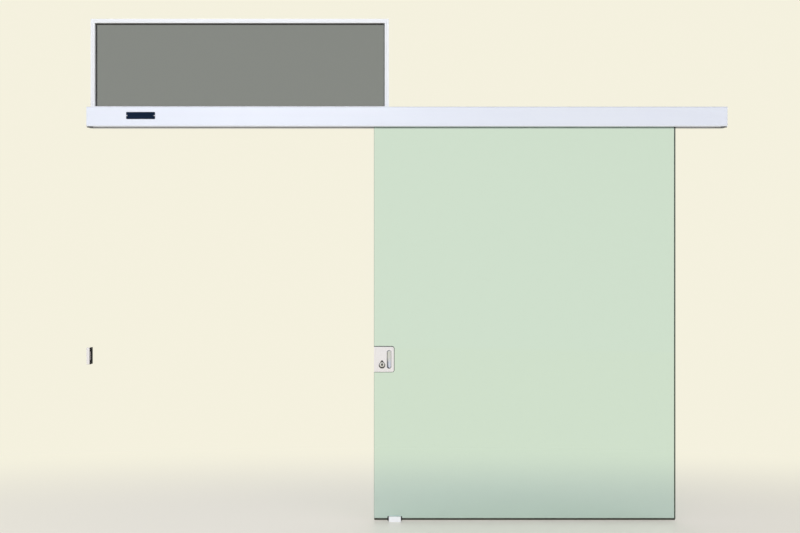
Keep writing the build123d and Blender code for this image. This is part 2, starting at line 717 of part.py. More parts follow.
def bead_section():
    """Hollow glazing bead with a rounded nose and a leg that clips into the channel."""
    front, back = -BEAD_PROUD, bead_back()
    inner, outer = -FACE_WIDTH, -BEAD_FROM - BEAD_GAP
    section = rect(front, back, inner, outer)
    section = fillet(section.vertices().sort_by(Axis.X)[:2], 2)
    wall = BEAD_WALL
    section -= rect(front + wall, back - wall, inner + wall, outer - wall)
    leg = bead_back() - 2 * BEAD_WALL
    return section + rect(leg - BEAD_WALL - 0.5, leg - 0.5, outer - 1, -4)


def frame_member(section, turn):
    """One mitred side of the transom's frame. turn is 0 for the top, then clockwise seen from the front."""
    half_width, half_height = transom_halves()
    out, half = (half_height, half_width) if turn % 180 == 0 else (half_width, half_height)
    bar = along_x(Pos(0, out) * section, -half, half)
    deep = FACE_WIDTH + 1
    mitre = Polyline((-half, out), (half, out), (half - deep, out - deep), (-half + deep, out - deep), close=True)
    bar = bar & along_y(make_face(mitre), -BEAD_PROUD - 1, BEAM_DEPTH + 1)
    x, z = transom_centre()
    return Pos(x, 0, z) * Rot(0, turn, 0) * bar


def transom_beads():
    return group([frame_member(bead_section(), turn) for turn in (0, 90, 180, 270)])


def transom_pane(inset):
    half_width, half_height = transom_halves()
    x, z = transom_centre()
    return Pos(x, z) * Rectangle(2 * (half_width - inset), 2 * (half_height - inset))


def transom_glass():
    return along_y(transom_pane(GLASS_EDGE), TRANSOM_GLASS_Y, TRANSOM_GLASS_Y + TRANSOM_GLASS)


def transom_gaskets():
    ring = transom_pane(BEAD_FROM + 1) - transom_pane(FACE_WIDTH + GASKET_SHOWS)
    behind = TRANSOM_GLASS_Y + TRANSOM_GLASS
    return group([along_y(ring, bead_back(), TRANSOM_GLASS_Y), along_y(ring, behind, behind + TRANSOM_GASKET)])


def setting_blocks():
    """Two blocks in the bottom channel that carry the pane."""
    x, _ = transom_centre()
    half_width, _ = transom_halves()
    low = BEAM_TOP + CHANNEL_WALL
    blocks = []
    for side in (-1, 1):
        middle = x + side * half_width / 2
        blocks.append(box(middle - BLOCK_LENGTH / 2, middle + BLOCK_LENGTH / 2,
                          bead_back() + 1, TRANSOM_GLASS_Y + TRANSOM_GLASS + 2, low, BEAM_TOP + GLASS_EDGE))
    return group(blocks)


# Floor guide and keeper

def guide_slot_half():
    return GLASS / 2 + LINER_GAP + LINER


def guide_block():
    """Moulded block on the floor with a slot for the leaf's bottom edge and two fixing holes."""
    x0, x1 = JAMB_X, JAMB_X + GUIDE_LENGTH
    half = GUIDE_WIDTH / 2
    block = box(x0, x1, LEAF_Y - half, LEAF_Y + half, 0, GUIDE_HEIGHT)
    block = fillet(block.edges().filter_by(Axis.Z), 4)
    block = fillet(block.faces().sort_by(Axis.Z)[-1].edges(), 2)
    slot = guide_slot_half()
    block -= box(x0 - 1, x1 + 1, LEAF_Y - slot, LEAF_Y + slot, GUIDE_BASE, GUIDE_HEIGHT + 1)
    for side in (-1, 1):
        x = (x0 + x1) / 2 + side * GUIDE_HOLE_PITCH / 2
        block -= rod_z(x, LEAF_Y, GUIDE_HOLE_RADIUS, -1, GUIDE_BASE + 1)
    return block


def guide_liners():
    """Wear strips in the guide's slot, longer than the block, with their ends eased."""
    slot = guide_slot_half()
    x0, x1 = JAMB_X - LINER_OVERHANG, JAMB_X + GUIDE_LENGTH + LINER_OVERHANG
    liners = []
    for side in (-1, 1):
        outer, inner = LEAF_Y + side * slot, LEAF_Y + side * (slot - LINER)
        strip = box(x0, x1, min(outer, inner), max(outer, inner), GUIDE_BASE, GUIDE_HEIGHT - LINER)
        liners.append(fillet(strip.edges().filter_by(Axis.Y).sort_by(Axis.Z)[-2:], LINER_OVERHANG / 2))
    return group(liners)


def keeper_outline():
    """The keeper's face in (y, z): it reaches further towards the wall than to the front."""
    front = LEAF_Y - KEEPER_FRONT
    half = KEEPER_HEIGHT / 2
    return fillet(rect(front, front + KEEPER_WIDTH, KEEPER_Z - half, KEEPER_Z + half).vertices(), 5)


def keeper_hole_y():
    return LEAF_Y - KEEPER_FRONT + KEEPER_WIDTH / 2


def keeper_mouth():
    """The hook's way in, in (y, z), from its lowest swing to just over its thrown arm."""
    pivot_z = LOCK_Z + HOOK_W
    mouth = KEEPER_MOUTH_WIDTH / 2
    reach = sqrt(HOOK_REACH ** 2 + HOOK_RISE ** 2)
    return rect(LEAF_Y - mouth, LEAF_Y + mouth, pivot_z - reach, pivot_z + HOOK_ARM / 2 + LIP_GAP)


def keeper_holes(x0, x1):
    half = KEEPER_PITCH / 2
    y = keeper_hole_y()
    return [rod_x(y, KEEPER_Z + side * half, KEEPER_HOLE_RADIUS, x0, x1) for side in (-1, 1)]


def strike_keeper():
    """Steel box on the side wall: the hook comes in through its mouth and rises behind the lip."""
    back, face = SIDE_WALL_X, SIDE_WALL_X + KEEPER_DEPTH
    body = along_x(keeper_outline(), back, face)
    pivot_z = LOCK_Z + HOOK_W
    low = pivot_z - sqrt(HOOK_REACH ** 2 + HOOK_RISE ** 2) - 2
    pocket = KEEPER_MOUTH_WIDTH / 2 + 4
    body -= box(back - 1, face - KEEPER_FACE, LEAF_Y - pocket, LEAF_Y + pocket, low, pivot_z + HOOK_RISE + 3)
    body -= along_x(keeper_mouth(), back - 1, face + 1)
    for hole in keeper_holes(back - 1, face + 1):
        body -= hole
    return body


def keeper_pad():
    """Thin plastic face on the keeper, with the same mouth and wider holes for the screws' heads."""
    back = SIDE_WALL_X + KEEPER_DEPTH
    pad = along_x(keeper_outline(), back, back + KEEPER_PAD)
    pad = chamfer(pad.faces().sort_by(Axis.X)[-1].edges(), KEEPER_PAD / 3)
    pad -= along_x(keeper_mouth(), back - 1, back + KEEPER_PAD + 1)
    for side in (-1, 1):
        z = KEEPER_Z + side * KEEPER_PITCH / 2
        pad -= rod_x(keeper_hole_y(), z, 2 * KEEPER_HOLE_RADIUS, back - 1, back + KEEPER_PAD + 1)
    return pad


# Leaf

def leaf_x1():
    return LEAF_OPEN_X + LEAF_WIDTH


def leaf_glass():
    """Toughened pane with arrised edges and a rounded notch for the lock."""
    pane = box(LEAF_OPEN_X, leaf_x1(), LEAF_Y - GLASS / 2, LEAF_Y + GLASS / 2, FLOOR_GAP, GLASS_TOP)
    edges = pane.faces().sort_by(Axis.Y)
    pane = chamfer(edges[0].edges() + edges[-1].edges(), ARRIS)
    notch = Pos(LEAF_OPEN_X, LOCK_Z) * RectangleRounded(2 * NOTCH_WIDTH, NOTCH_HEIGHT, NOTCH_CORNER)
    return pane - along_y(notch, LEAF_Y - GLASS, LEAF_Y + GLASS)


def clamp_span():
    return LEAF_OPEN_X + CLAMP_INSET, leaf_x1() - CLAMP_INSET


def clamp_screw_xs():
    x0, x1 = clamp_span()
    step = (x1 - x0) / CLAMP_SCREWS
    return [x0 + step * (n + 0.5) for n in range(CLAMP_SCREWS)]


def clamp_screw_z():
    return TONGUE_Z + TONGUE / 2


def clamp_rail():
    """Extrusion with the back jaw, the tongue over the glass and the T-slot for the hangers."""
    outer = CLAMP_HALF + JAW
    block_top = CLAMP_TOP
    section = rect(LEAF_Y - outer, LEAF_Y + outer, SLOT_BLOCK_Z, block_top)
    section += rect(LEAF_Y - CLAMP_HALF, LEAF_Y + outer, TONGUE_Z, SLOT_BLOCK_Z)
    section += rect(LEAF_Y + CLAMP_HALF, LEAF_Y + outer, CLAMP_Z, SLOT_BLOCK_Z)
    slot_z = block_top - 3.5 - SLOT_DEPTH
    section -= rect(LEAF_Y - SLOT_WIDTH / 2, LEAF_Y + SLOT_WIDTH / 2, slot_z, slot_z + SLOT_DEPTH)
    section -= rect(LEAF_Y - THROAT / 2, LEAF_Y + THROAT / 2, slot_z, block_top + 1)
    rail = along_x(section, *clamp_span())
    for x in clamp_screw_xs():
        rail -= rod_y(x, clamp_screw_z(), CLAMP_SCREW_RADIUS, LEAF_Y - outer, LEAF_Y + CLAMP_HALF + 1)
    return rail


def clamp_strip():
    """Front jaw, screwed to the rail's tongue."""
    front = LEAF_Y - CLAMP_HALF - JAW
    section = rect(front, front + JAW, CLAMP_Z, SLOT_BLOCK_Z - TOUCH_GAP)
    section = fillet(section.vertices().sort_by(Axis.Y)[0], 2)
    strip = along_x(section, *clamp_span())
    for x in clamp_screw_xs():
        strip -= countersunk_y(x, clamp_screw_z(), CLAMP_SCREW_RADIUS, 1.9 * CLAMP_SCREW_RADIUS, front, front + 30)
    return strip


def clamp_gaskets():
    pads = []
    for side in (-1, 1):
        glass, jaw = LEAF_Y + side * GLASS / 2, LEAF_Y + side * CLAMP_HALF
        pads.append(along_x(rect(min(glass, jaw), max(glass, jaw), CLAMP_Z, GLASS_TOP), *clamp_span()))
    return group(pads)


def clamp_screws():
    front = LEAF_Y - CLAMP_HALF - JAW
    tip = LEAF_Y + CLAMP_HALF - 1
    radius = CLAMP_SCREW_RADIUS - 0.05
    z = clamp_screw_z()
    return group([countersunk_y(x, z, radius, 1.9 * radius, front, tip, socket=True) for x in clamp_screw_xs()])


# Carriages, wheels and hangers

def carriage(x):
    """Bent plate: upright for the axles, foot for the hanger bolts."""
    half = CARRIAGE_LENGTH / 2
    upright = rect(x - half, x + half, FOOT_Z, PLATE_TOP)
    upright = fillet(upright.vertices().sort_by(Axis.Y)[-2:], 12)
    plate = along_y(upright, PLATE_FRONT, PLATE_BACK)
    plate += box(x - half, x + half, PLATE_BACK - CARRIAGE_PLATE - FOOT_DEPTH, PLATE_BACK, FOOT_Z, FOOT_TOP)
    for dx, z, radius in axle_points():
        plate -= rod_y(x + dx, z, radius + RUNNING_PLAY, PLATE_FRONT - 1, PLATE_BACK + 1)
    for side in (-1, 1):
        hole = Pos(x + side * HANGER_SPREAD, LEAF_Y, FOOT_Z - 1) * extrude(SlotOverall(16, 2 * HANGER_RADIUS + 0.6), 8)
        plate -= hole
    return plate


def axle_points():
    wheels = [(-WHEEL_SPREAD, WHEEL_Z, AXLE_RADIUS), (WHEEL_SPREAD, WHEEL_Z, AXLE_RADIUS)]
    return wheels + [(0, ROLLER_Z, ROLLER_AXLE_RADIUS)]


def running_wheel(x):
    """Grooved wheel on its bearing bore, dished on both faces."""
    half = WHEEL_WIDTH / 2
    bore = AXLE_RADIUS + RUNNING_PLAY
    section = rect(bore, WHEEL_RADIUS, -half, half)
    section -= Pos(WHEEL_RUN_RADIUS + GROOVE_RADIUS, 0) * Circle(GROOVE_RADIUS)
    for side in (-1, 1):
        section -= rect(bore + 4, WHEEL_RUN_RADIUS - 4, side * half - 1.5, side * half + 1.5)
    return Pos(x, RAIL_Y, WHEEL_Z) * revolve(section, axis=Axis.Y)


def counter_roller(x):
    """Small roller under the guard rib, which keeps the carriage on the rail."""
    half = ROLLER_WIDTH / 2
    section = rect(ROLLER_AXLE_RADIUS + RUNNING_PLAY, ROLLER_RADIUS, -half, half)
    section = chamfer(section.vertices().sort_by(Axis.X)[-2:], 1)
    return Pos(x, RAIL_Y, ROLLER_Z) * revolve(section, axis=Axis.Y)


def axle_stud(x, z, radius, width):
    front = RAIL_Y - width / 2 - TOUCH_GAP
    back = RAIL_Y + width / 2 + TOUCH_GAP
    stud = rod_y(x, z, radius, PLATE_FRONT - 4, back)
    stud += hex_y(x, z, 3 * radius + 1, PLATE_FRONT - 4, PLATE_FRONT)
    stud += rod_y(x, z, radius + 2.5, PLATE_BACK, front)
    return stud + rod_y(x, z, radius + 1.5, back, back + 1.5)


def axle_studs():
    studs = []
    for x in CARRIAGE_XS:
        for dx, z, radius in axle_points():
            width = WHEEL_WIDTH if dx else ROLLER_WIDTH
            studs.append(axle_stud(x + dx, z, radius, width))
    return group(studs)


def hanger_bolts():
    """T-bolts in the clamp rail's slot, with a thin nut under and over the carriage's foot."""
    bolts = []
    slot_z = CLAMP_TOP - 3.5 - SLOT_DEPTH
    for middle in CARRIAGE_XS:
        for side in (-1, 1):
            x = middle + side * HANGER_SPREAD
            bolt = box(x - 6.5, x + 6.5, LEAF_Y - 6.5, LEAF_Y + 6.5, slot_z + 0.7, slot_z + SLOT_DEPTH)
            bolt += rod_z(x, LEAF_Y, HANGER_RADIUS, slot_z + 1, FOOT_TOP + 6)
            nut = hex_z(x, LEAF_Y, 13, FOOT_Z - 5, FOOT_Z)
            nut += hex_z(x, LEAF_Y, 13, FOOT_TOP, FOOT_TOP + 5)
            bolts.append(bolt + nut)
    return group(bolts)


def belt_clamp():
    """Two jaws on the right carriage that grip the belt's lower run."""
    x = CARRIAGE_XS[1]
    front, back = BELT_Y - BELT_WIDTH / 2 - 1, LEAF_Y + 3
    under, over = PULLEY_Z - BELT_OUTSIDE - TOUCH_GAP, PULLEY_Z - BELT_INSIDE + TOUCH_GAP
    lower = box(x - 25, x + 25, front, back, FOOT_TOP, under)
    upper = box(x - 25, x + 25, front, back, over, over + 6)
    post = box(x - 25, x + 25, back - 5, back, FOOT_TOP, over + 1)
    jaws = lower + upper + post
    for side in (-1, 1):
        jaws += hex_z(x + side * 16, back - 4.5, 6, over + 6, over + 9)
    return jaws


# Patch lock, drawn in (u, w): u in from the leading edge, w up from the plates' middle

def lock_place(sketch):
    return Pos(LEAF_OPEN_X, LOCK_Z) * sketch


def plate_outline():
    """Square on the leading edge, rounded on the side away from it."""
    outline = rect(0, PLATE_WIDTH, -PLATE_HEIGHT / 2, PLATE_HEIGHT / 2)
    return fillet(outline.vertices().sort_by(Axis.X)[-2:], PLATE_CORNER)


def pull_slot(play=0.0):
    size = PULL_WIDTH + 2 * play
    slot = Rot(0, 0, 90) * SlotOverall(PULL_HEIGHT + 2 * play, size)
    return Pos(PULL_U, 0) * slot


def lock_screw_points():
    across, up = KEY_U + 20, NOTCH_HEIGHT / 2 - CASE_GAP - 6
    return [(9, up), (9, -up), (across, up), (across, -up)]


def lock_plate(thickness, y_face, y_glass, key_radius):
    """One cover plate, with its outer rim eased, and its holes for the key and the pull."""
    y0, y1 = min(y_face, y_glass), max(y_face, y_glass)
    plate = along_y(lock_place(plate_outline()), y0, y1)
    outer = plate.faces().sort_by(Axis.Y)[0 if y_face < y_glass else -1]
    plate = fillet(outer.edges(), thickness / 6)
    plate -= along_y(lock_place(pull_slot(0.1)), y0 - 1, y1 + 1)
    return plate - along_y(lock_place(Pos(KEY_U, KEY_W) * Circle(key_radius)), y0 - 1, y1 + 1)


def lock_front_plate():
    front = FRONT_PLATE_BACK - FRONT_PLATE
    plate = lock_plate(FRONT_PLATE, front, FRONT_PLATE_BACK, CYLINDER_RADIUS + RUNNING_PLAY)
    for u, w in lock_screw_points():
        hole = lock_place(Pos(u, w) * Circle(LOCK_SCREW_RADIUS + 0.1))
        plate -= along_y(hole, FRONT_PLATE_BACK - 6, FRONT_PLATE_BACK + 1)
    return plate


def lock_back_plate():
    back = BACK_PLATE_FRONT + BACK_PLATE
    plate = lock_plate(BACK_PLATE, back, BACK_PLATE_FRONT, SPINDLE_RADIUS + RUNNING_PLAY)
    for u, w in lock_screw_points():
        radius = LOCK_SCREW_RADIUS + 0.1
        plate -= countersunk_y(LEAF_OPEN_X + u, LOCK_Z + w, radius, 2 * radius, back, back - 20)
    return plate


def lock_gaskets():
    """Thin pads between the glass and the two plates."""
    pad = plate_outline() - RectangleRounded(2 * NOTCH_WIDTH, NOTCH_HEIGHT, NOTCH_CORNER)
    front = along_y(lock_place(pad), FRONT_PLATE_BACK, FRONT_PLATE_BACK + LOCK_GASKET)
    back = along_y(lock_place(pad), BACK_PLATE_FRONT - LOCK_GASKET, BACK_PLATE_FRONT)
    return group([front, back])


def finger_pulls():
    """Pressed cups in the plates' slots, one on each side."""
    cups = []
    front, back = FRONT_PLATE_BACK - FRONT_PLATE, BACK_PLATE_FRONT + BACK_PLATE
    for open_end, closed_end in ((front, FRONT_PLATE_BACK - 0.5), (back, BACK_PLATE_FRONT + 0.5)):
        y0, y1 = min(open_end, closed_end), max(open_end, closed_end)
        cup = along_y(lock_place(pull_slot()), y0, y1)
        floor = PULL_WALL if open_end < closed_end else -PULL_WALL
        hollow = sorted((open_end - floor, closed_end - floor))
        cup -= along_y(lock_place(pull_slot(-PULL_WALL)), *hollow)
        cups.append(cup)
    return group(cups)


def lock_escutcheon():
    """Drop-shaped rose round the cylinder: a circle drawn out to a point above."""
    big = Pos(KEY_U, KEY_W - 4) * Circle(19)
    small = Pos(KEY_U, KEY_W + 22) * Circle(4)
    rose = make_hull(big.edges() + small.edges())
    front = FRONT_PLATE_BACK - FRONT_PLATE
    drop = along_y(lock_place(rose), front - ESCUTCHEON, front)
    drop = fillet(drop.faces().sort_by(Axis.Y)[0].edges(), 1)
    hole = lock_place(Pos(KEY_U, KEY_W) * Circle(CYLINDER_RADIUS + RUNNING_PLAY))
    return drop - along_y(hole, front - ESCUTCHEON - 1, front + 1)


def cylinder_face():
    return FRONT_PLATE_BACK - FRONT_PLATE - ESCUTCHEON - CYLINDER_PROUD


def lock_cylinder():
    """Round shell through the rose and the front plate, in which the key plug turns."""
    x, z = LEAF_OPEN_X + KEY_U, LOCK_Z + KEY_W
    shell = rod_y(x, z, CYLINDER_RADIUS, cylinder_face(), FRONT_PLATE_BACK)
    shell = fillet(shell.edges().sort_by(Axis.Y)[0], 1)
    return shell - rod_y(x, z, PLUG_RADIUS + RUNNING_PLAY, cylinder_face() - 1, FRONT_PLATE_BACK + 1)


def crank_point(centre_u, centre_w, angle):
    return centre_u + CRANK * cos(angle), centre_w + CRANK * sin(angle)


def key_plug():
    """Turned plug with a keyway, and the cam that works the drive bar."""
    face = cylinder_face() - 0.5
    x, z = LEAF_OPEN_X + KEY_U, LOCK_Z + KEY_W
    plug = rod_y(x, z, PLUG_RADIUS, face, HOOK_LAYER)
    plug = chamfer(plug.edges().sort_by(Axis.Y)[0], 0.6)
    plug += rod_y(x, z, CRANK + 3.5, HOOK_LAYER, HOOK_LAYER + HOOK_THICKNESS)
    plug -= box(x - 0.9, x + 0.9, face - 1, face + 8, z - 4, z + 4)
    u, w = crank_point(KEY_U, KEY_W, 0.75 * pi)
    return plug + rod_y(LEAF_OPEN_X + u, LOCK_Z + w, CRANK_PIN_RADIUS, HOOK_LAYER + 1, BAR_LAYER + BAR_THICKNESS)


def thumb_turn():
    """Spindle through the back plate with a flattened oval knob."""
    x, z = LEAF_OPEN_X + KEY_U, LOCK_Z + KEY_W
    back = BACK_PLATE_FRONT + BACK_PLATE
    spindle = rod_y(x, z, SPINDLE_RADIUS, HOOK_LAYER + HOOK_THICKNESS, back + 3)
    spindle += rod_y(x, z, 13, back + TOUCH_GAP, back + 4)
    knob = along_y(Pos(x, z) * SlotOverall(30, 8), back + 3, back + TURN_LENGTH)
    return spindle + fillet(knob.faces().sort_by(Axis.Y)[-1].edges(), 2)


def hook_bolt():
    """Hook folded down in the case: an arm on a hub, a nose at its end and a crank pin."""
    tip = -HOOK_REACH
    arm = rect(-HOOK_ARM / 2, HOOK_ARM / 2, tip, 0) + Circle(HOOK_ARM / 2 + 1)
    arm += rect(-HOOK_RISE, 0, tip, tip + HOOK_NOSE)
    ear_u, ear_w = CRANK * cos(pi / 4), CRANK * sin(pi / 4)
    ear = make_hull((Circle(6)).edges() + (Pos(ear_u, ear_w) * Circle(CRANK_PIN_RADIUS + 2.5)).edges())
    arm += ear
    arm -= Circle(HOOK_PIN_RADIUS + RUNNING_PLAY)
    hook = along_y(lock_place(Pos(HOOK_U, HOOK_W) * arm), HOOK_LAYER, HOOK_LAYER + HOOK_THICKNESS)
    u, w = crank_point(HOOK_U, HOOK_W, pi / 4)
    return hook + rod_y(LEAF_OPEN_X + u, LOCK_Z + w, CRANK_PIN_RADIUS, HOOK_LAYER + 1, BAR_LAYER + BAR_THICKNESS)


def drive_bar():
    """Upright bar whose two slots hold the cam's pin and the hook's pin."""
    hook_u, hook_w = crank_point(HOOK_U, HOOK_W, pi / 4)
    cam_u, cam_w = crank_point(KEY_U, KEY_W, 0.75 * pi)
    middle = (HOOK_U + KEY_U) / 2
    bar = rect(middle - BAR_WIDTH / 2, middle + BAR_WIDTH / 2, cam_w - 6.5, hook_w + 6.5)
    slot = 2 * (CRANK_PIN_RADIUS + BAR_SLOT_PLAY)
    swing = CRANK - CRANK_LIFT
    bar -= Pos(hook_u + swing / 2, hook_w) * SlotOverall(swing + slot + 0.6, slot)
    bar -= Pos(cam_u - swing / 2, cam_w) * SlotOverall(swing + slot + 0.6, slot)
    return along_y(lock_place(bar), BAR_LAYER, BAR_LAYER + BAR_THICKNESS)


def lock_case():
    """Shallow tray in the glass's notch, with the hook's pin and its mouth in the leading edge."""
    wide, half = NOTCH_WIDTH - CASE_GAP, NOTCH_HEIGHT / 2 - CASE_GAP
    outline = rect(0, wide, -half, half)
    outline = fillet(outline.vertices().sort_by(Axis.X)[-2:], NOTCH_CORNER - CASE_GAP)
    pocket = rect(CASE_WALL, KEY_U + CRANK + 8, -half + CASE_WALL, half - CASE_WALL)
    for u, w in lock_screw_points():
        pocket -= Pos(u, w) * Circle(LOCK_BOSS)
    tray = along_y(lock_place(outline), FRONT_PLATE_BACK, BACK_PLATE_FRONT)
    tray -= along_y(lock_place(pocket), FRONT_PLATE_BACK + CASE_WALL, BACK_PLATE_FRONT + 1)
    reach = sqrt(HOOK_REACH ** 2 + HOOK_RISE ** 2)
    low, high = LOCK_Z + HOOK_W - reach, LOCK_Z + HOOK_W + HOOK_ARM / 2 + 2
    mouth_y = HOOK_LAYER - LAYER_GAP, HOOK_LAYER + HOOK_THICKNESS + LAYER_GAP
    tray -= box(LEAF_OPEN_X - 1, LEAF_OPEN_X + CASE_WALL + 1, *mouth_y, low, high)
    x, z = LEAF_OPEN_X + KEY_U, LOCK_Z + KEY_W
    tray -= rod_y(x, z, PLUG_RADIUS + RUNNING_PLAY, FRONT_PLATE_BACK - 1, FRONT_PLATE_BACK + CASE_WALL + 1)
    pin_end = HOOK_LAYER + HOOK_THICKNESS
    tray += rod_y(LEAF_OPEN_X + HOOK_U, LOCK_Z + HOOK_W, HOOK_PIN_RADIUS, FRONT_PLATE_BACK + 1, pin_end)
    tray += rod_y(LEAF_OPEN_X + HOOK_U, LOCK_Z + HOOK_W, HOOK_PIN_RADIUS + 2.5, FRONT_PLATE_BACK + 1,
                  HOOK_LAYER - LAYER_GAP)
    for u, w in lock_screw_points():
        hole = lock_place(Pos(u, w) * Circle(LOCK_SCREW_RADIUS + 0.2))
        tray -= along_y(hole, FRONT_PLATE_BACK - 1, BACK_PLATE_FRONT + 1)
    return tray


def lock_screws():
    back = BACK_PLATE_FRONT + BACK_PLATE
    tip = FRONT_PLATE_BACK - 5
    radius = LOCK_SCREW_RADIUS
    head = 2 * radius
    screws = []
    for u, w in lock_screw_points():
        screws.append(countersunk_y(LEAF_OPEN_X + u, LOCK_Z + w, radius, head, back, tip, socket=True))
    return group(screws)


def all_parts():
    parts = {
        "support_beam": support_beam(),
        "beam_screws": beam_screws(),
        "track_profile": track_profile(),
        "running_rail": running_rail(),
        "header_end_left": end_cap(-1),
        "header_end_right": end_cap(1),
        "end_screws": end_screws(),
        "cover_catches": cover_catches(),
        "header_cover": header_cover(),
        "drive_gearbox": drive_gearbox(),
        "drive_motor": drive_motor(),
        "drive_pulley": drive_pulley(),
        "idler_bracket": idler_bracket(),
        "idler_pulley": idler_pulley(),
        "toothed_belt": toothed_belt(),
        "control_unit": control_unit(),
        "power_supply": power_supply(),
        "cable_grommet": cable_grommet(),
        "rail_stops": rail_stops(),
        "stop_buffers": stop_buffers(),
        "transom_beads": transom_beads(),
        "transom_glass": transom_glass(),
        "transom_gaskets": transom_gaskets(),
        "setting_blocks": setting_blocks(),
        "guide_block": guide_block(),
        "guide_liners": guide_liners(),
        "strike_keeper": strike_keeper(),
        "keeper_pad": keeper_pad(),
        "leaf_glass": leaf_glass(),
        "clamp_rail": clamp_rail(),
        "clamp_strip": clamp_strip(),
        "clamp_gaskets": clamp_gaskets(),
        "clamp_screws": clamp_screws(),
        "axle_studs": axle_studs(),
        "hanger_bolts": hanger_bolts(),
        "belt_clamp": belt_clamp(),
        "lock_case": lock_case(),
        "lock_front_plate": lock_front_plate(),
        "lock_back_plate": lock_back_plate(),
        "lock_gaskets": lock_gaskets(),
        "finger_pulls": finger_pulls(),
        "lock_escutcheon": lock_escutcheon(),
        "lock_cylinder": lock_cylinder(),
        "key_plug": key_plug(),
        "thumb_turn": thumb_turn(),
        "drive_bar": drive_bar(),
        "hook_bolt": hook_bolt(),
        "lock_screws": lock_screws(),
    }
    for name, turn in (("top", 0), ("right", 90), ("bottom", 180), ("left", 270)):
        parts[f"transom_channel_{name}"] = frame_member(channel_section(), turn)
    for name, x in zip(("left", "right"), CARRIAGE_XS):
        parts[f"carriage_{name}"] = carriage(x)
        parts[f"counter_roller_{name}"] = counter_roller(x)
        for place, dx in (("left", -WHEEL_SPREAD), ("right", WHEEL_SPREAD)):
            parts[f"wheel_{name}_{place}"] = running_wheel(x + dx)
    return parts


os.makedirs("parts", exist_ok=True)
for name, part in all_parts().items():
    export_step(part, f"parts/{name}.step")
print("leaf travel", LEAF_TRAVEL)
print("wheel axle height", WHEEL_Z, "roller axle height", ROLLER_Z, "pulley height", PULLEY_Z)
print("hinge axis", HINGE_Y, HINGE_Z)
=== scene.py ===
# %% [markdown]
# # A sliding glass door, dressed for its photograph
# The door is a sheet of toughened glass that hangs from a slim box over the doorway and rolls
# sideways. The measured model comes first. It already holds every part at its true size, so this
# lesson adds only what a measured model leaves out: finishes, fine trim, a camera and light.

# %% Load the measured door
import bpy, bmesh, json, math
from mathutils import Matrix, Vector


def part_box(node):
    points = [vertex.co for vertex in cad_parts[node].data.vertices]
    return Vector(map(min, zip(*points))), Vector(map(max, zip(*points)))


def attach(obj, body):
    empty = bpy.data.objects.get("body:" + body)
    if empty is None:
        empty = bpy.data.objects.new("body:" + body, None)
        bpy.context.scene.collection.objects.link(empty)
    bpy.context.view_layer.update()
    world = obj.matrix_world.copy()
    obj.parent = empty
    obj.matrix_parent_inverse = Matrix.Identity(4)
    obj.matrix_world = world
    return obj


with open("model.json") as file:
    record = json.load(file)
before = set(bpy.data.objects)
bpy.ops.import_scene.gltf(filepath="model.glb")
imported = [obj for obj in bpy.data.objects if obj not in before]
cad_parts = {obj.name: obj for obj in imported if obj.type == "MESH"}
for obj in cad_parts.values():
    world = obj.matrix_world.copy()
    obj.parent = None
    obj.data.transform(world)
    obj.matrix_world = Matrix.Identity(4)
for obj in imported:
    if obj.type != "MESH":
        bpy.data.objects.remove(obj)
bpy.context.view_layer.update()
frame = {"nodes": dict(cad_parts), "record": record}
parts = frame["nodes"]

# %% [markdown]
# ## The camera
# The photograph was taken standing up, square to the door, a little left of the header's middle.
# Upright edges stay upright in it, so the camera looks level, and a small lens shift puts the
# vanishing point where the picture has it. Its height and distance come from the sizes of near and
# far edges that are known from the model.

# %% Stand the camera where the photographer stood
PICTURE_WIDTH = 800
PICTURE_MIDDLE = (400.0, 266.5)
VANISHING_POINT = (391.0, 268.0)
FOCAL_PIXELS = 1094
SENSOR_WIDTH = 36.0
CAMERA_SPOT = (-0.0947, -6.594, 1.508)

scene = bpy.context.scene
lens = bpy.data.cameras.new("photographer")
lens.sensor_width = SENSOR_WIDTH
lens.lens = FOCAL_PIXELS / PICTURE_WIDTH * SENSOR_WIDTH
lens.shift_x = (PICTURE_MIDDLE[0] - VANISHING_POINT[0]) / PICTURE_WIDTH
lens.shift_y = (VANISHING_POINT[1] - PICTURE_MIDDLE[1]) / PICTURE_WIDTH
camera = bpy.data.objects.new("photographer", lens)
camera.location = CAMERA_SPOT
camera.rotation_euler = (math.radians(90), 0, 0)
scene.collection.objects.link(camera)
scene.camera = camera
print("lens", round(lens.lens, 1), "mm, shift", round(lens.shift_x, 4), round(lens.shift_y, 4))

# %% [markdown]
# ## Small tools for shaders
# A shader is a tree of nodes, and a few steps come back in every one: make a node and fill in its
# inputs, do a sum, map one range of numbers to another, and choose between two shaders. Short
# functions for these keep the recipes below readable. An input is given as a number, a colour or
# the output of another node, and is found by its name or by its place in the list.

# %% Tools for nodes


def fill_in(net, step, inputs):
    """Sets the inputs of a node, or joins them to the outputs given for them."""
    for key, value in inputs.items():
        if isinstance(value, bpy.types.NodeSocket):
            net.links.new(value, step.inputs[key])
        else:
            step.inputs[key].default_value = value


def node(net, kind, inputs, **settings):
    """A new node with its settings, such as its operation, and its inputs."""
    step = net.nodes.new(kind)
    for name, value in settings.items():
        setattr(step, name, value)
    fill_in(net, step, inputs)
    return step


def reckon(net, operation, *values, **settings):
    """A sum of numbers and outputs."""
    return node(net, "ShaderNodeMath", dict(enumerate(values)), operation=operation, **settings).outputs[0]


def ramp(net, source, from_low, from_high, to_low, to_high, way="SMOOTHSTEP"):
    """Maps one range of numbers to another, smoothly or in a straight line."""
    inputs = {"Value": source, "From Min": from_low, "From Max": from_high,
              "To Min": to_low, "To Max": to_high}
    return node(net, "ShaderNodeMapRange", inputs, interpolation_type=way).outputs["Result"]


def choose(net, share, zero, one):
    """One shader where the share is zero, the other where it is one."""
    return node(net, "ShaderNodeMixShader", {0: share, 1: zero, 2: one}).outputs[0]


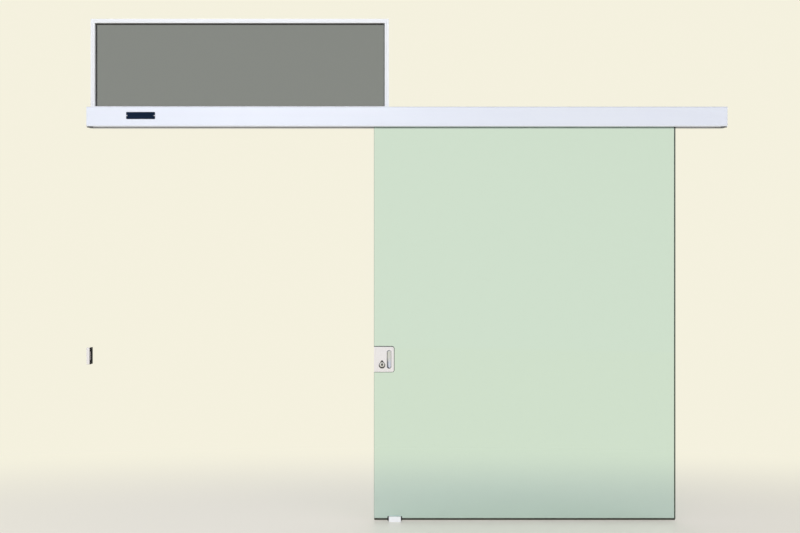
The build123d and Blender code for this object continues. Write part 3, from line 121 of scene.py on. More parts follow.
def mixed_colour(net, share, zero, one):
    """A colour between two colours."""
    colours = {"Factor": share, "A": zero, "B": one}
    return node(net, "ShaderNodeMix", colours, data_type="RGBA").outputs["Result"]


print("node tools: fill in, node, reckon, ramp, choose, mixed colour")

# %% [markdown]
# ## Backdrop, floor and light
# Glass shows whatever stands behind it, so the backdrop is half of its look, and a pale, creamy one
# keeps the glass light. Metal shows the room it looks into. That room has the backdrop on the door's
# side and cool daylight on the photographer's, and it is darker to the right and above, so every
# rounded edge that turns that way gets a darker line.

# %% The room that metal mirrors
BACKDROP = (0.91, 0.88, 0.735, 1.0)
COOL_DAY = (0.90, 0.92, 1.0, 1.0)
FRONT, BACK = -0.2, 0.6
CORNER_RISE = 0.8
CORNER_NEAR, CORNER_FAR = 0.0, 0.9
CORNER_STRENGTH = 0.25


def seen_rather_than_lit(net):
    """One where a ray looks (camera, mirror or through glass), zero where it only lights."""
    rays = node(net, "ShaderNodeLightPath", {}).outputs
    looking = reckon(net, "MAXIMUM", rays["Is Camera Ray"], rays["Is Glossy Ray"])
    return reckon(net, "MAXIMUM", looking, rays["Is Transmission Ray"])


def mirrored_room(net):
    """Its colour changes from front to back, its strength towards the upper right corner."""
    look = node(net, "ShaderNodeTexCoord", {}).outputs["Generated"]
    towards = node(net, "ShaderNodeSeparateXYZ", {0: look}).outputs
    colour = mixed_colour(net, ramp(net, towards["Y"], FRONT, BACK, 0.0, 1.0), COOL_DAY, BACKDROP)
    corner = reckon(net, "MULTIPLY_ADD", towards["Z"], CORNER_RISE, towards["X"])
    strength = ramp(net, corner, CORNER_NEAR, CORNER_FAR, 1.0, CORNER_STRENGTH)
    return node(net, "ShaderNodeBackground", {"Color": colour, "Strength": strength}).outputs[0]


print("daylight", COOL_DAY[:3], "falls to", CORNER_STRENGTH, "in the corner")

# %% [markdown]
# The world has to do three jobs. The camera, and anything seen through the glass, gets the plain
# backdrop. Mirrors get the room. Everything else gets a calm, slightly cool light. The Light Path
# node tells these rays apart.

# %% Paint the backdrop
ROOM_LIGHT = (0.965, 0.975, 1.0, 1.0)
ROOM_STRENGTH = 0.70

scene.view_settings.view_transform = "Standard"
world = bpy.data.worlds.new("studio")
scene.world = world
world.use_nodes = True
sky = world.node_tree
sky.nodes.clear()
rays = node(sky, "ShaderNodeLightPath", {}).outputs
mirrored = reckon(sky, "SUBTRACT", rays["Is Glossy Ray"], rays["Is Transmission Ray"], use_clamp=True)
plain = node(sky, "ShaderNodeBackground", {"Color": BACKDROP}).outputs[0]
lighting = node(sky, "ShaderNodeBackground", {"Color": ROOM_LIGHT, "Strength": ROOM_STRENGTH}).outputs[0]
shown = choose(sky, mirrored, plain, mirrored_room(sky))
surface = choose(sky, seen_rather_than_lit(sky), lighting, shown)
node(sky, "ShaderNodeOutputWorld", {"Surface": surface})
print("backdrop colour", BACKDROP[:3])

# %% [markdown]
# The floor is a wide disc that keeps the door's shadow near its foot. Further out its own shader
# gives way to a plain glow of the backdrop's colour, so no horizon line cuts through the glass. The
# mix is driven by the distance from the door, read from Object coordinates, so it stays the same
# from every side. A Mapping node squeezes that distance along the door, which makes the pale patch
# under it long and narrow, as the door is. The glow is weaker for rays that only light, or it would
# brighten the header from below.

# %% Lay the floor
FLOOR_RADIUS = 14.0
FLOOR_COLOUR = (0.80, 0.77, 0.71, 1.0)
FADE_FROM, FADE_TO = 0.4, 2.6
SQUEEZE = (0.42, 1.0, 1.0)
UNSEEN_GLOW = 0.35

disc = bmesh.new()
bmesh.ops.create_circle(disc, cap_ends=True, segments=96, radius=FLOOR_RADIUS)
floor_mesh = bpy.data.meshes.new("floor")
disc.to_mesh(floor_mesh)
disc.free()
floor = bpy.data.objects.new("floor", floor_mesh)
scene.collection.objects.link(floor)

tile = bpy.data.materials.new("floor_tile")
tile.use_nodes = True
net = tile.node_tree
net.nodes.clear()
spot = node(net, "ShaderNodeTexCoord", {}).outputs["Object"]
squeezed = node(net, "ShaderNodeMapping", {"Vector": spot, "Scale": SQUEEZE}).outputs["Vector"]
distance = node(net, "ShaderNodeVectorMath", {0: squeezed}, operation="LENGTH").outputs["Value"]
stone_look = {"Base Color": FLOOR_COLOUR, "Roughness": 0.35, "Specular IOR Level": 0.3}
stone = node(net, "ShaderNodeBsdfPrincipled", stone_look).outputs[0]
strength = reckon(net, "MULTIPLY_ADD", seen_rather_than_lit(net), 1 - UNSEEN_GLOW, UNSEEN_GLOW)
glow = node(net, "ShaderNodeEmission", {"Color": BACKDROP, "Strength": strength}).outputs[0]
surface = choose(net, ramp(net, distance, FADE_FROM, FADE_TO, 0.0, 1.0), stone, glow)
node(net, "ShaderNodeOutputMaterial", {"Surface": surface})
floor_mesh.materials.append(tile)
print("floor radius", FLOOR_RADIUS, "m, fades from", FADE_FROM, "to", FADE_TO, "m")

# %% [markdown]
# Two broad lamps stand in for daylight from behind the photographer: a large one high on the left
# and a weaker one on the right, which leaves the header's left end the brighter one, as in the
# picture. A third lights the door from behind, for views from that side.

# %% Hang the lamps


def lamp(name, spot, aim, size, power, colour):
    """A round soft lamp that lights surfaces but is not itself seen, in glass or anywhere else."""
    light = bpy.data.lights.new(name, "AREA")
    light.shape = "DISK"
    light.size = size
    light.energy = power
    light.color = colour
    stand = bpy.data.objects.new(name, light)
    stand.location = spot
    stand.rotation_euler = (Vector(aim) - Vector(spot)).to_track_quat("-Z", "Y").to_euler()
    stand.visible_camera = False
    stand.visible_glossy = False
    stand.visible_transmission = False
    scene.collection.objects.link(stand)
    print("lamp", name, "of", power, "W")


lamp("daylight", (-1.8, -7.2, 4.8), (-0.3, 0, 1.7), 4.0, 205, (0.96, 0.975, 1.0))
lamp("fill", (5.0, -5.0, 3.4), (0.8, 0, 1.8), 3.5, 75, (0.99, 0.98, 1.0))
lamp("rear", (0.5, 5.5, 4.8), (0, 0, 1.8), 4.0, 90, (1.0, 1.0, 1.0))

# %% [markdown]
# ## Finishes
# Every finish starts from the same small recipe. Two noises in Object coordinates, one broad and one
# fine, shift the colour and the roughness a little, and the fine one also lifts the surface. The fine
# noise can be stretched along one direction, because metal that was drawn, rolled or brushed keeps
# lines in the direction it ran. Numbers that are the same all over sit on the shader itself.

# %% A recipe for surfaces
PATCHES = (3, 3, 3)
COAT_ROUGHNESS = 0.15


def noise(net, scale, detail):
    """Noise in Object coordinates, finer along the directions with the larger scale."""
    spot = node(net, "ShaderNodeTexCoord", {}).outputs["Object"]
    stretched = node(net, "ShaderNodeMapping", {"Vector": spot, "Scale": scale}).outputs["Vector"]
    cloud = {"Vector": stretched, "Scale": 1.0, "Detail": detail}
    return node(net, "ShaderNodeTexNoise", cloud).outputs["Fac"]


def spread(net, source, low, high):
    """Maps a noise, which mostly lies between 0.3 and 0.7, to the range from low to high."""
    return ramp(net, source, 0.3, 0.7, low, high, "LINEAR")


def finish(name, dark, light, rough, grain, lift, metal=0.0, coat=0.0, shine=0.5):
    """A surface between two near colours, with a grain that lifts it by `lift` metres."""
    material = bpy.data.materials.new(name)
    material.use_nodes = True
    net = material.node_tree
    fine = noise(net, grain, 4.0)
    cloudy = reckon(net, "MULTIPLY_ADD", noise(net, PATCHES, 3.0), 0.5, reckon(net, "MULTIPLY", fine, 0.5))
    raised = node(net, "ShaderNodeBump", {"Height": fine, "Distance": lift, "Strength": 1.0})
    fill_in(net, net.nodes["Principled BSDF"], {
        "Base Color": mixed_colour(net, spread(net, cloudy, 0.0, 1.0), (*dark, 1), (*light, 1)),
        "Roughness": spread(net, fine, *rough),
        "Normal": raised.outputs["Normal"],
        "Metallic": metal,
        "Specular IOR Level": shine,
        "Coat Weight": coat,
        "Coat Roughness": COAT_ROUGHNESS,
    })
    return material


print("a finish takes a darker and a lighter colour, a roughness range, a grain and a lift")

# %% [markdown]
# The header, its end caps and the glazing frame are anodised aluminium. Anodising leaves extruded
# metal with a soft, even, slightly blue white, and only very faint lines along its length. The lines
# run along X, so the grain is fine in Y and Z and long in X.

# %% Aluminium finishes
ALONG_X = (6, 900, 900)


def even(scale):
    """A grain that is the same in every direction."""
    return (scale, scale, scale)


header_skin = finish("header_anodised", (0.86, 0.89, 0.98), (0.90, 0.93, 1.00), (0.30, 0.40),
                     ALONG_X, 0.00001, metal=0.35)
frame_skin = finish("frame_anodised", (0.91, 0.92, 0.94), (0.95, 0.96, 0.98), (0.30, 0.42),
                    ALONG_X, 0.00001, metal=0.2)
track_skin = finish("track_mill", (0.60, 0.61, 0.63), (0.70, 0.71, 0.73), (0.32, 0.50),
                    ALONG_X, 0.00002, metal=0.9)
rail_skin = finish("rail_hard_anodised", (0.42, 0.43, 0.45), (0.52, 0.53, 0.55), (0.22, 0.34),
                   ALONG_X, 0.00001, metal=0.9)
cast_skin = finish("cast_alloy", (0.50, 0.51, 0.53), (0.60, 0.61, 0.63), (0.45, 0.62),
                   even(900), 0.00006, metal=0.85)
print("aluminium:", header_skin.name, frame_skin.name, track_skin.name, rail_skin.name, cast_skin.name)

# %% [markdown]
# The lock is stainless steel, ground with a belt. Its lines run up and down the plates, and the
# pressed finger pulls are a little darker because they were only polished by the press. Zinc plate is
# duller and cloudier, with no direction, and chrome is nearly a mirror.

# %% Steel finishes
UPRIGHT = (1400, 1400, 12)

lock_skin = finish("lock_brushed", (0.90, 0.865, 0.87), (0.97, 0.935, 0.94), (0.26, 0.38),
                   UPRIGHT, 0.00002, metal=0.6)
pull_skin = finish("pull_pressed", (0.66, 0.68, 0.72), (0.74, 0.76, 0.80), (0.10, 0.18),
                   UPRIGHT, 0.000005, metal=1.0)
zinc_skin = finish("zinc_plate", (0.58, 0.59, 0.60), (0.72, 0.72, 0.71), (0.28, 0.46),
                   even(160), 0.00002, metal=0.9)
chrome_skin = finish("key_chrome", (0.84, 0.84, 0.86), (0.90, 0.90, 0.92), (0.08, 0.16),
                     even(300), 0.000005, metal=1.0)
rose_skin = finish("rose_dark", (0.045, 0.042, 0.040), (0.075, 0.070, 0.066), (0.26, 0.40),
                   even(700), 0.00002, metal=0.5, coat=0.3)
# The key plug's near-black is painted shade, the shadow in its keyway.
plug_painted_shade_skin = finish("plug_dark", (0.030, 0.028, 0.026), (0.06, 0.056, 0.052), (0.24, 0.38),
                   even(500), 0.00001, metal=0.9)
print("steel:", lock_skin.name, pull_skin.name, zinc_skin.name, chrome_skin.name)

# %% [markdown]
# Paint and plastic are not metal, so their grain carries the look: powder coat has a soft orange
# peel, moulded housings a fine spark texture, and nylon a faint waxy sheen.

# %% Paint and plastic
beam_skin = finish("beam_powder_coat", (0.74, 0.75, 0.76), (0.79, 0.80, 0.81), (0.42, 0.52),
                   even(420), 0.00005)
motor_skin = finish("motor_paint", (0.025, 0.025, 0.028), (0.05, 0.05, 0.055), (0.32, 0.45),
                    even(500), 0.00003, coat=0.3)
unit_skin = finish("unit_moulding", (0.10, 0.105, 0.11), (0.15, 0.155, 0.16), (0.50, 0.62),
                   even(1800), 0.00004)
supply_skin = finish("supply_case", (0.42, 0.43, 0.45), (0.50, 0.51, 0.53), (0.38, 0.50),
                     even(700), 0.00003, metal=0.4)
nylon_skin = finish("nylon", (0.70, 0.69, 0.64), (0.78, 0.77, 0.72), (0.38, 0.50),
                    even(300), 0.00003)
guide_skin = finish("guide_moulding", (0.90, 0.91, 0.94), (0.95, 0.96, 0.98), (0.34, 0.46),
                    even(800), 0.00003)
black_skin = finish("black_moulding", (0.012, 0.012, 0.013), (0.024, 0.024, 0.026), (0.60, 0.75),
                    even(1200), 0.00003, shine=0.04)
print("paint and plastic:", beam_skin.name, motor_skin.name, unit_skin.name, nylon_skin.name)

# %% [markdown]
# Rubber is the dullest of all. A low specular level takes away the shine that it would otherwise
# show at a grazing angle. The gaskets are a softer rubber and a little greyer.

# %% Rubber
rubber_skin = finish("rubber", (0.016, 0.016, 0.016), (0.03, 0.03, 0.03), (0.60, 0.78),
                     even(600), 0.00005, shine=0.15)
gasket_skin = finish("gasket", (0.05, 0.052, 0.05), (0.08, 0.082, 0.08), (0.55, 0.70),
                     even(500), 0.00003)
print("rubber:", rubber_skin.name, gasket_skin.name)

# %% [markdown]
# ## Glass
# Float glass is clear face on and green along its edges, because iron in it swallows red over a long
# path. Light that enters a face leaves almost at once, but light that runs inside the sheet leaves
# only at a ground edge. The glass here is one solid with a pale green tint, and a band of a few
# millimetres round its rim has the darker, matt green of a ground edge. The band is wider on the
# door's trailing edge, whose long arris shows dark, and along its foot; there it is partly the ground
# edge and partly painted shade, for the shadow beside and under the door. The small window over the
# doorway is grey. For lamps the sheet counts as thin and clear, so it casts only a faint shadow.

# %% A recipe for sheet glass


def near_edge(net, low, high, widths):
    """One inside the strips along the sheet's left, right, lower and upper edge, zero elsewhere."""
    spot = node(net, "ShaderNodeTexCoord", {}).outputs["Object"]
    along = node(net, "ShaderNodeSeparateXYZ", {0: spot}).outputs
    left = reckon(net, "LESS_THAN", along["X"], low.x + widths[0])
    right = reckon(net, "GREATER_THAN", along["X"], high.x - widths[1])
    below = reckon(net, "LESS_THAN", along["Z"], low.z + widths[2])
    above = reckon(net, "GREATER_THAN", along["Z"], high.z - widths[3])
    return reckon(net, "MAXIMUM", reckon(net, "MAXIMUM", left, right), reckon(net, "MAXIMUM", below, above))


def sheet_glass(name, sheet, tint, rim, rim_widths):
    """Tinted glass with a ground rim, partly painted shade where it is wide, which lamps shine through as
    through a thin sheet.
    """
    material = bpy.data.materials.new(name)
    material.use_nodes = True
    net = material.node_tree
    clear = net.nodes["Principled BSDF"]
    fill_in(net, clear, {"Base Color": (*tint, 1), "Roughness": 0.0, "IOR": 1.5, "Transmission Weight": 1.0})
    ground_look = {"Base Color": (*rim, 1), "Roughness": 0.3, "Specular IOR Level": 0.6}
    ground = node(net, "ShaderNodeBsdfPrincipled", ground_look)
    low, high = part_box(sheet)
    body = choose(net, near_edge(net, low, high, rim_widths), clear.outputs[0], ground.outputs[0])
    faint = [0.5 + channel / 2 for channel in tint]
    passing = node(net, "ShaderNodeBsdfTransparent", {"Color": (*faint, 1)}).outputs[0]
    shadow_ray = node(net, "ShaderNodeLightPath", {}).outputs["Is Shadow Ray"]
    fill_in(net, net.nodes["Material Output"], {"Surface": choose(net, shadow_ray, body, passing)})
    return material


# Rim widths left, right, foot, top: the wide right and foot bands are partly painted shade beside and under
# the door.
LEAF_RIMS_AND_PAINTED_SHADE = (0.0011, 0.0065, 0.003, 0.0011)
TRANSOM_RIMS = (0.001, 0.001, 0.001, 0.001)
leaf_glass = sheet_glass("leaf_float_glass", "leaf_glass", (0.68, 0.84, 0.81), (0.05, 0.065, 0.045),
                         LEAF_RIMS_AND_PAINTED_SHADE)
transom_glass = sheet_glass("transom_grey_glass", "transom_glass", (0.235, 0.255, 0.27), (0.08, 0.10, 0.09),
                            TRANSOM_RIMS)
print("glass:", leaf_glass.name, transom_glass.name)

# %% [markdown]
# ## Dressing the measured parts
# Each part of the model names the slot its finish comes from. One table turns slot into finish, and
# a loop hands it to every part.

# %% Hand out the finishes
FINISH_OF_SLOT = {
    "beam_paint": beam_skin, "header_silver": header_skin, "track_silver": track_skin,
    "rail_steel": rail_skin, "frame_silver": frame_skin, "zinc_steel": zinc_skin,
    "lock_steel": lock_skin, "pull_steel": pull_skin, "key_chrome": chrome_skin,
    "cast_alloy": cast_skin, "motor_black": motor_skin, "unit_grey": unit_skin,
    "supply_silver": supply_skin, "nylon": nylon_skin, "black_plastic": black_skin,
    "guide_plastic": guide_skin, "black_rubber": rubber_skin, "gasket_grey": gasket_skin,
    "escutcheon_dark": rose_skin, "plug_dark": plug_painted_shade_skin,
    "leaf_glass": leaf_glass, "transom_glass": transom_glass,
}
slot_of_part = {part["node"]: part["material_slot"] for part in frame["record"]["subparts"]}
for name, part in parts.items():
    for place in part.material_slots:
        place.material = FINISH_OF_SLOT[slot_of_part[name]]
print("dressed", len(parts), "parts in", len(FINISH_OF_SLOT), "finishes")

# %% [markdown]
# ## Making a new piece
# New trim is shaped in a bmesh, given to an object that sits at the origin, and told which part of
# the door it rides on. The same few lines serve every piece. Blender draws circles and cylinders
# flat on the ground, and nearly all trim here faces the front, so one more function turns them.

# %% Turn a shape into a piece
Y, Z = 1, 2
SHARP_ANGLE = math.radians(35)
JOINED_WITHIN = 0.000001
ROUND_SIDES = 40


def block(shape, low, high):
    """A box between two corners. Returns its vertices."""
    low, high = Vector(low), Vector(high)
    size = Matrix.Diagonal((*(high - low), 1))
    return bmesh.ops.create_cube(shape, size=1.0, matrix=Matrix.Translation((low + high) / 2) @ size)["verts"]


def facing_front(x, y, z):
    """Places a shape that is drawn flat on the ground so that it stands upright and faces front."""
    return Matrix.Translation((x, y, z)) @ Matrix.Rotation(math.radians(90), 4, "X")


def edges_along(vertices, axis):
    """The edges between these vertices that run along one axis."""
    found = set()
    for vertex in vertices:
        for edge in vertex.link_edges:
            run = edge.verts[1].co - edge.verts[0].co
            if abs(run[axis]) > 0.99 * run.length:
                found.add(edge)
    return list(found)


def round_edges(shape, edges, size, steps):
    """Rolls the edges over in a number of steps."""
    bmesh.ops.bevel(shape, geom=edges, offset=size, affect="EDGES", segments=steps, profile=0.5, material=-1)


def middle_of(node_name):
    """Where the middle of a measured part lies, across and up."""
    low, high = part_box(node_name)
    return ((low.x + high.x) / 2, (low.z + high.z) / 2)


def piece(shape, name, skin, body, smooth=True):
    """Finishes the shape: joins its doubles, turns its faces outwards and hangs it on a body."""
    bmesh.ops.remove_doubles(shape, verts=shape.verts, dist=JOINED_WITHIN)
    bmesh.ops.recalc_face_normals(shape, faces=shape.faces)
    mesh = bpy.data.meshes.new(name)
    shape.to_mesh(mesh)
    shape.free()
    mesh.materials.append(skin)
    if smooth:
        mesh.shade_smooth()
        mesh.set_sharp_from_angle(angle=SHARP_ANGLE)
    thing = bpy.data.objects.new(name, mesh)
    scene.collection.objects.link(thing)
    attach(thing, body)
    print(name, "has", len(mesh.polygons), "faces and rides on", body)


print("edges sharper than", round(math.degrees(SHARP_ANGLE)), "degrees stay crisp on every piece")

# %% [markdown]
# ## The blank plate on the header
# A small dark plate is fixed near the header's left end. It stays blank here: a rounded rectangle
# with a raised rim, made from a box whose corner edges are bevelled and whose front is inset.

# %% Fix the blank plate
PLATE_LEFT, PLATE_RIGHT = -1.667, -1.495
PLATE_LOW, PLATE_HIGH = 2.392, 2.434
PLATE_THICK = 0.0012
PLATE_CORNER = 0.005
PLATE_RIM, PLATE_SUNK = 0.0016, 0.0004

cover_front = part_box("header_cover")[0].y
plate_front = cover_front - PLATE_THICK
plate = bmesh.new()
corners = block(plate, (PLATE_LEFT, plate_front, PLATE_LOW), (PLATE_RIGHT, cover_front, PLATE_HIGH))
round_edges(plate, edges_along(corners, Y), PLATE_CORNER, 5)
face = min(plate.faces, key=lambda side: side.calc_center_median().y)
bmesh.ops.inset_region(plate, faces=[face], thickness=PLATE_RIM, depth=0.0)
bmesh.ops.translate(plate, verts=face.verts[:], vec=(0, PLATE_SUNK, 0))
plate_skin = finish("blank_plate", (0.003, 0.010, 0.028), (0.005, 0.017, 0.045), (0.34, 0.46),
                    even(500), 0.00001, shine=0.08)
piece(plate, "header_blank_plate", plate_skin, "cover", smooth=False)

# %% [markdown]
# Two pins hold the plate, one at each end. A pin's head is a small sphere pressed flat, half sunk in
# the plate.

# %% Pin the plate
PIN_RADIUS, PIN_RISE = 0.0038, 0.0009
PIN_INSET = 0.0042

pins = bmesh.new()
for end in (PLATE_LEFT + PIN_INSET, PLATE_RIGHT - PIN_INSET):
    head = Matrix.Translation((end, plate_front, (PLATE_LOW + PLATE_HIGH) / 2))
    flattened = Matrix.Diagonal((PIN_RADIUS, PIN_RISE, PIN_RADIUS, 1))
    bmesh.ops.create_uvsphere(pins, u_segments=20, v_segments=10, radius=1.0, matrix=head @ flattened)
piece(pins, "header_plate_pins", chrome_skin, "cover")

# %% [markdown]
# ## Pressed finger pulls
# The pulls are bowls, pressed from thin steel. The measured cups have flat bottoms, so each gets a
# lining with a round one. A lining starts as a short cylinder whose two halves are drawn apart, which
# makes a stadium. Its open face drops a little, straight down, and is then inset again and again.
# Each step sinks less than the one before, along an arc that starts steep and ends level.

# %% Press the bowls
BOWL_RADIUS, BOWL_HALF_RUN = 0.0106, 0.0420
BOWL_RIM, RIM_SUNK = 0.0004, 0.0004
BOWL_DROP, DROP_SLANT = 0.0004, 0.00005
BOWL_INSET, BOWL_SLOPE, BOWL_STEPS = 0.0086, math.radians(48), 10
FRONT_DEEP, BACK_DEEP = 0.0081, 0.0061


def draw_apart(vertices, middle, run):
    """Moves the upper half of a round shape up and the lower half down."""
    for vertex in vertices:
        height = vertex.co.z - middle
        if abs(height) > 0.0001:
            vertex.co.z += math.copysign(run, height)


def bowl(name, centre, rim_y, bottom_y):
    """A stadium between two planes, with a hollow that opens on the rim's side."""
    shape = bmesh.new()
    bmesh.ops.create_cone(shape, cap_ends=True, segments=ROUND_SIDES, radius1=BOWL_RADIUS,
                          radius2=BOWL_RADIUS, depth=abs(rim_y - bottom_y),
                          matrix=facing_front(centre[0], (rim_y + bottom_y) / 2, centre[1]))
    draw_apart(shape.verts, centre[1], BOWL_HALF_RUN)
    broad = [face for face in shape.faces if len(face.verts) == ROUND_SIDES]
    mouth = min(broad, key=lambda face: abs(face.calc_center_median().y - rim_y))
    bmesh.ops.inset_region(shape, faces=[mouth], thickness=BOWL_RIM, depth=0.0)
    bmesh.ops.inset_region(shape, faces=[mouth], thickness=DROP_SLANT, depth=-BOWL_DROP)
    arc = BOWL_INSET / math.sin(BOWL_SLOPE)
    slopes = [BOWL_SLOPE * (1 - step / BOWL_STEPS) for step in range(BOWL_STEPS + 1)]
    for before, after in zip(slopes, slopes[1:]):
        bmesh.ops.inset_region(shape, faces=[mouth], thickness=arc * (math.sin(before) - math.sin(after)),
                               depth=-arc * (math.cos(after) - math.cos(before)))
    piece(shape, name, pull_skin, "leaf")


pull_low, pull_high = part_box("finger_pulls")
pull_middle = middle_of("finger_pulls")
bowl("finger_bowl_front", pull_middle, pull_low.y + RIM_SUNK, pull_low.y + FRONT_DEEP)
bowl("finger_bowl_back", pull_middle, pull_high.y - RIM_SUNK, pull_high.y - BACK_DEEP)

# %% [markdown]
# ## Seals round the lock, partly painted shade
# A dark rubber lip runs round each plate where it meets the glass. Its dark outline is partly
# painted shade, standing for the shaded edge of the plate and its reflection in the glass. It starts
# as a flat box a little larger than the plate, with two round corners. Both of its broad faces are
# inset by the lip's width and taken away, and the two holes are bridged, which leaves a frame. A cut
# flush with the glass's edge then opens the frame on that side.

# %% Fit the lips, partly painted shade
# The lip's width is partly a painted shade line round the plate.
LIP, LIP_THICK = 0.003, 0.0012
LOCK_CORNER = 0.012


def only(kind, elements):
    """The vertices or edges among the elements that an operator made."""
    return [element for element in elements if isinstance(element, kind)]


def whole(shape):
    """All that a shape is made of so far."""
    return shape.verts[:] + shape.edges[:] + shape.faces[:]


def lip(name, plate_name, low_y, high_y):
    """A frame round one of the lock's plates, open on the door's leading edge."""
    low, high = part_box(plate_name)
    shape = bmesh.new()
    corners = block(shape, (low.x - LIP, low_y, low.z - LIP), (high.x + LIP, high_y, high.z + LIP))
    far_side = [edge for edge in edges_along(corners, Y) if edge.verts[0].co.x > high.x]
    round_edges(shape, far_side, LOCK_CORNER + LIP, 8)
    broad = [face for face in shape.faces if abs(face.normal.y) > 0.9]
    for face in broad:
        bmesh.ops.inset_region(shape, faces=[face], thickness=LIP, depth=0.0)
    rims = [edge for face in broad for edge in face.edges]
    bmesh.ops.delete(shape, geom=broad, context="FACES_ONLY")
    bmesh.ops.bridge_loops(shape, edges=rims)
    cut = bmesh.ops.bisect_plane(shape, geom=whole(shape), dist=JOINED_WITHIN, plane_co=(low.x, 0, 0),
                                 plane_no=(-1, 0, 0), clear_outer=True)
    bmesh.ops.holes_fill(shape, edges=only(bmesh.types.BMEdge, cut["geom_cut"]))
    piece(shape, name, rubber_skin, "leaf", smooth=False)


glass_low, glass_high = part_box("leaf_glass")
lip("lock_lip_and_shade_front", "lock_front_plate", glass_low.y - LIP_THICK, glass_low.y)
lip("lock_lip_and_shade_back", "lock_back_plate", glass_high.y, glass_high.y + LIP_THICK)

# %% [markdown]
# The key goes into a dark, upright oval in the middle of the bright cylinder: a painted shade of the
# keyway, on a key plug that is painted near-black for the same shade. A second, bright ring on the
# dark key plate makes the cylinder look broader. Each is a flat ring, made by bridging a circle to a
# larger round or oval one and giving the face between them a thickness.

# %% Fit the key bezel, a painted shade of the keyway, and the ring round the cylinder
RING_THICK = 0.0003
PLUG_HOLE, OVAL_ACROSS, OVAL_UP = 0.0057, 0.0061, 0.0080
CYLINDER_HOLE, CYLINDER_RING = 0.0119, 0.0140


def flat_ring(name, skin, centre, hole_radius, across, up, seat, outward=-1, run=0.0, shift=0.0):
    """A ring that lies on the plane y = seat, with its halves drawn apart and its hole off centre."""
    facing = facing_front(centre[0], seat, centre[1])
    ring = bmesh.new()
    hole = bmesh.ops.create_circle(ring, segments=ROUND_SIDES, radius=hole_radius, matrix=facing)["verts"]
    stretched = facing @ Matrix.Diagonal((across, up, 1, 1))
    bmesh.ops.create_circle(ring, segments=ROUND_SIDES, radius=1.0, matrix=stretched)
    draw_apart(ring.verts, centre[1], run)
    bmesh.ops.translate(ring, verts=hole, vec=(shift, 0, shift))
    bmesh.ops.bridge_loops(ring, edges=ring.edges[:])
    bmesh.ops.solidify(ring, geom=ring.faces[:], thickness=RING_THICK)
    depths = [vertex.co.y for vertex in ring.verts]
    middle = (min(depths) + max(depths)) / 2
    bmesh.ops.translate(ring, verts=ring.verts, vec=(0, seat + outward * RING_THICK / 2 - middle, 0))
    piece(ring, name, skin, "leaf", smooth=False)


key_middle = middle_of("lock_cylinder")
shell_face, rose_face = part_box("lock_cylinder")[0].y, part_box("lock_escutcheon")[0].y
flat_ring("key_bezel_painted_shade", plug_painted_shade_skin, key_middle, PLUG_HOLE, OVAL_ACROSS, OVAL_UP, shell_face)
flat_ring("cylinder_ring", chrome_skin, key_middle, CYLINDER_HOLE, CYLINDER_RING,
          CYLINDER_RING, rose_face)

# %% [markdown]
# A dark seam runs round each finger pull, where the cup meets the plate. It is the same flat ring,
# drawn apart to a stadium, with its hole a little off centre, so that it is broader to the left and
# below. That broader part is painted shade, the shadow on the wall of the recess.

# %% Draw the seams round the finger pulls, with painted shade to the left and below
SEAM_INSIDE, SEAM_OUTSIDE = 0.0112, 0.0134
# The off-centre shift paints shade into the seam's left and lower side.
SEAM_SHADE_SHIFT = 0.0010

front_seat = min(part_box("lock_front_plate")[0].y, pull_low.y)
back_seat = max(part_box("lock_back_plate")[1].y, pull_high.y)
for name, seat, outward in (("finger_seam_front", front_seat, -1), ("finger_seam_back", back_seat, 1)):
    flat_ring(name, rubber_skin, pull_middle, SEAM_INSIDE, SEAM_OUTSIDE, SEAM_OUTSIDE,
              seat, outward, BOWL_HALF_RUN, SEAM_SHADE_SHIFT)

# %% [markdown]
# ## The sweep under the door
# A soft lip under the glass keeps out the draught. Its dark brown is partly painted shade, the
# shadow under the door. Its section is drawn once, as a carrier with a tapering tongue, and extruded
# along the door. It runs through the floor guide's slot without touching it.

# %% Hang the sweep, dark with painted shade
SWEEP_SECTION = [(-0.0050, 0.0), (0.0050, 0.0), (0.0050, -0.0020), (0.0016, -0.0032),
                 (0.0009, -0.0082), (-0.0009, -0.0082), (-0.0016, -0.0032), (-0.0050, -0.0020)]
SWEEP_SHORT = 0.002

sweep_middle = (glass_low.y + glass_high.y) / 2
sweep_length = glass_high.x - glass_low.x - 2 * SWEEP_SHORT
sweep = bmesh.new()
section = [sweep.verts.new((glass_low.x + SWEEP_SHORT, sweep_middle + across, glass_low.z + up))
           for across, up in SWEEP_SECTION]
grown = bmesh.ops.extrude_face_region(sweep, geom=[sweep.faces.new(section)], use_keep_orig=True)
far_end = only(bmesh.types.BMVert, grown["geom"])
bmesh.ops.translate(sweep, verts=far_end, vec=(sweep_length, 0, 0))
# The sweep's dark brown is partly painted shade under the door.
sweep_and_shade_skin = finish("sweep_rubber_and_shade", (0.060, 0.055, 0.042), (0.090, 0.082, 0.066), (0.60, 0.75),
                    even(600), 0.00004, shine=0.15)
piece(sweep, "leaf_sweep", sweep_and_shade_skin, "leaf", smooth=False)

# %% [markdown]
# ## Teeth of the belt
# The belt carries the door, so its inside is toothed, one tooth to every groove of the pulleys. The
# teeth along each straight run are copies of a half-round rib, and those round the pulleys are the
# same rib turned about the pulley's axis in steps of one groove.

# %% Cut the belt's teeth
GROOVES = 24
TOOTH_PITCH = 0.005
TOOTH_RADIUS = 0.0012
TOOTH_SHORT = 0.0002
BELT_THICK = 0.0024


def copied(shape, geometry, move):
    """Adds a moved copy of some geometry."""
    made = bmesh.ops.duplicate(shape, geom=geometry)["geom"]
    bmesh.ops.transform(shape, matrix=move, verts=only(bmesh.types.BMVert, made))


belt_low, belt_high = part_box("toothed_belt")
belt_half = (belt_high.z - belt_low.z) / 2
inside = belt_half - BELT_THICK
drive_x, idler_x = belt_high.x - belt_half, belt_low.x + belt_half
axis_z = (belt_high.z + belt_low.z) / 2

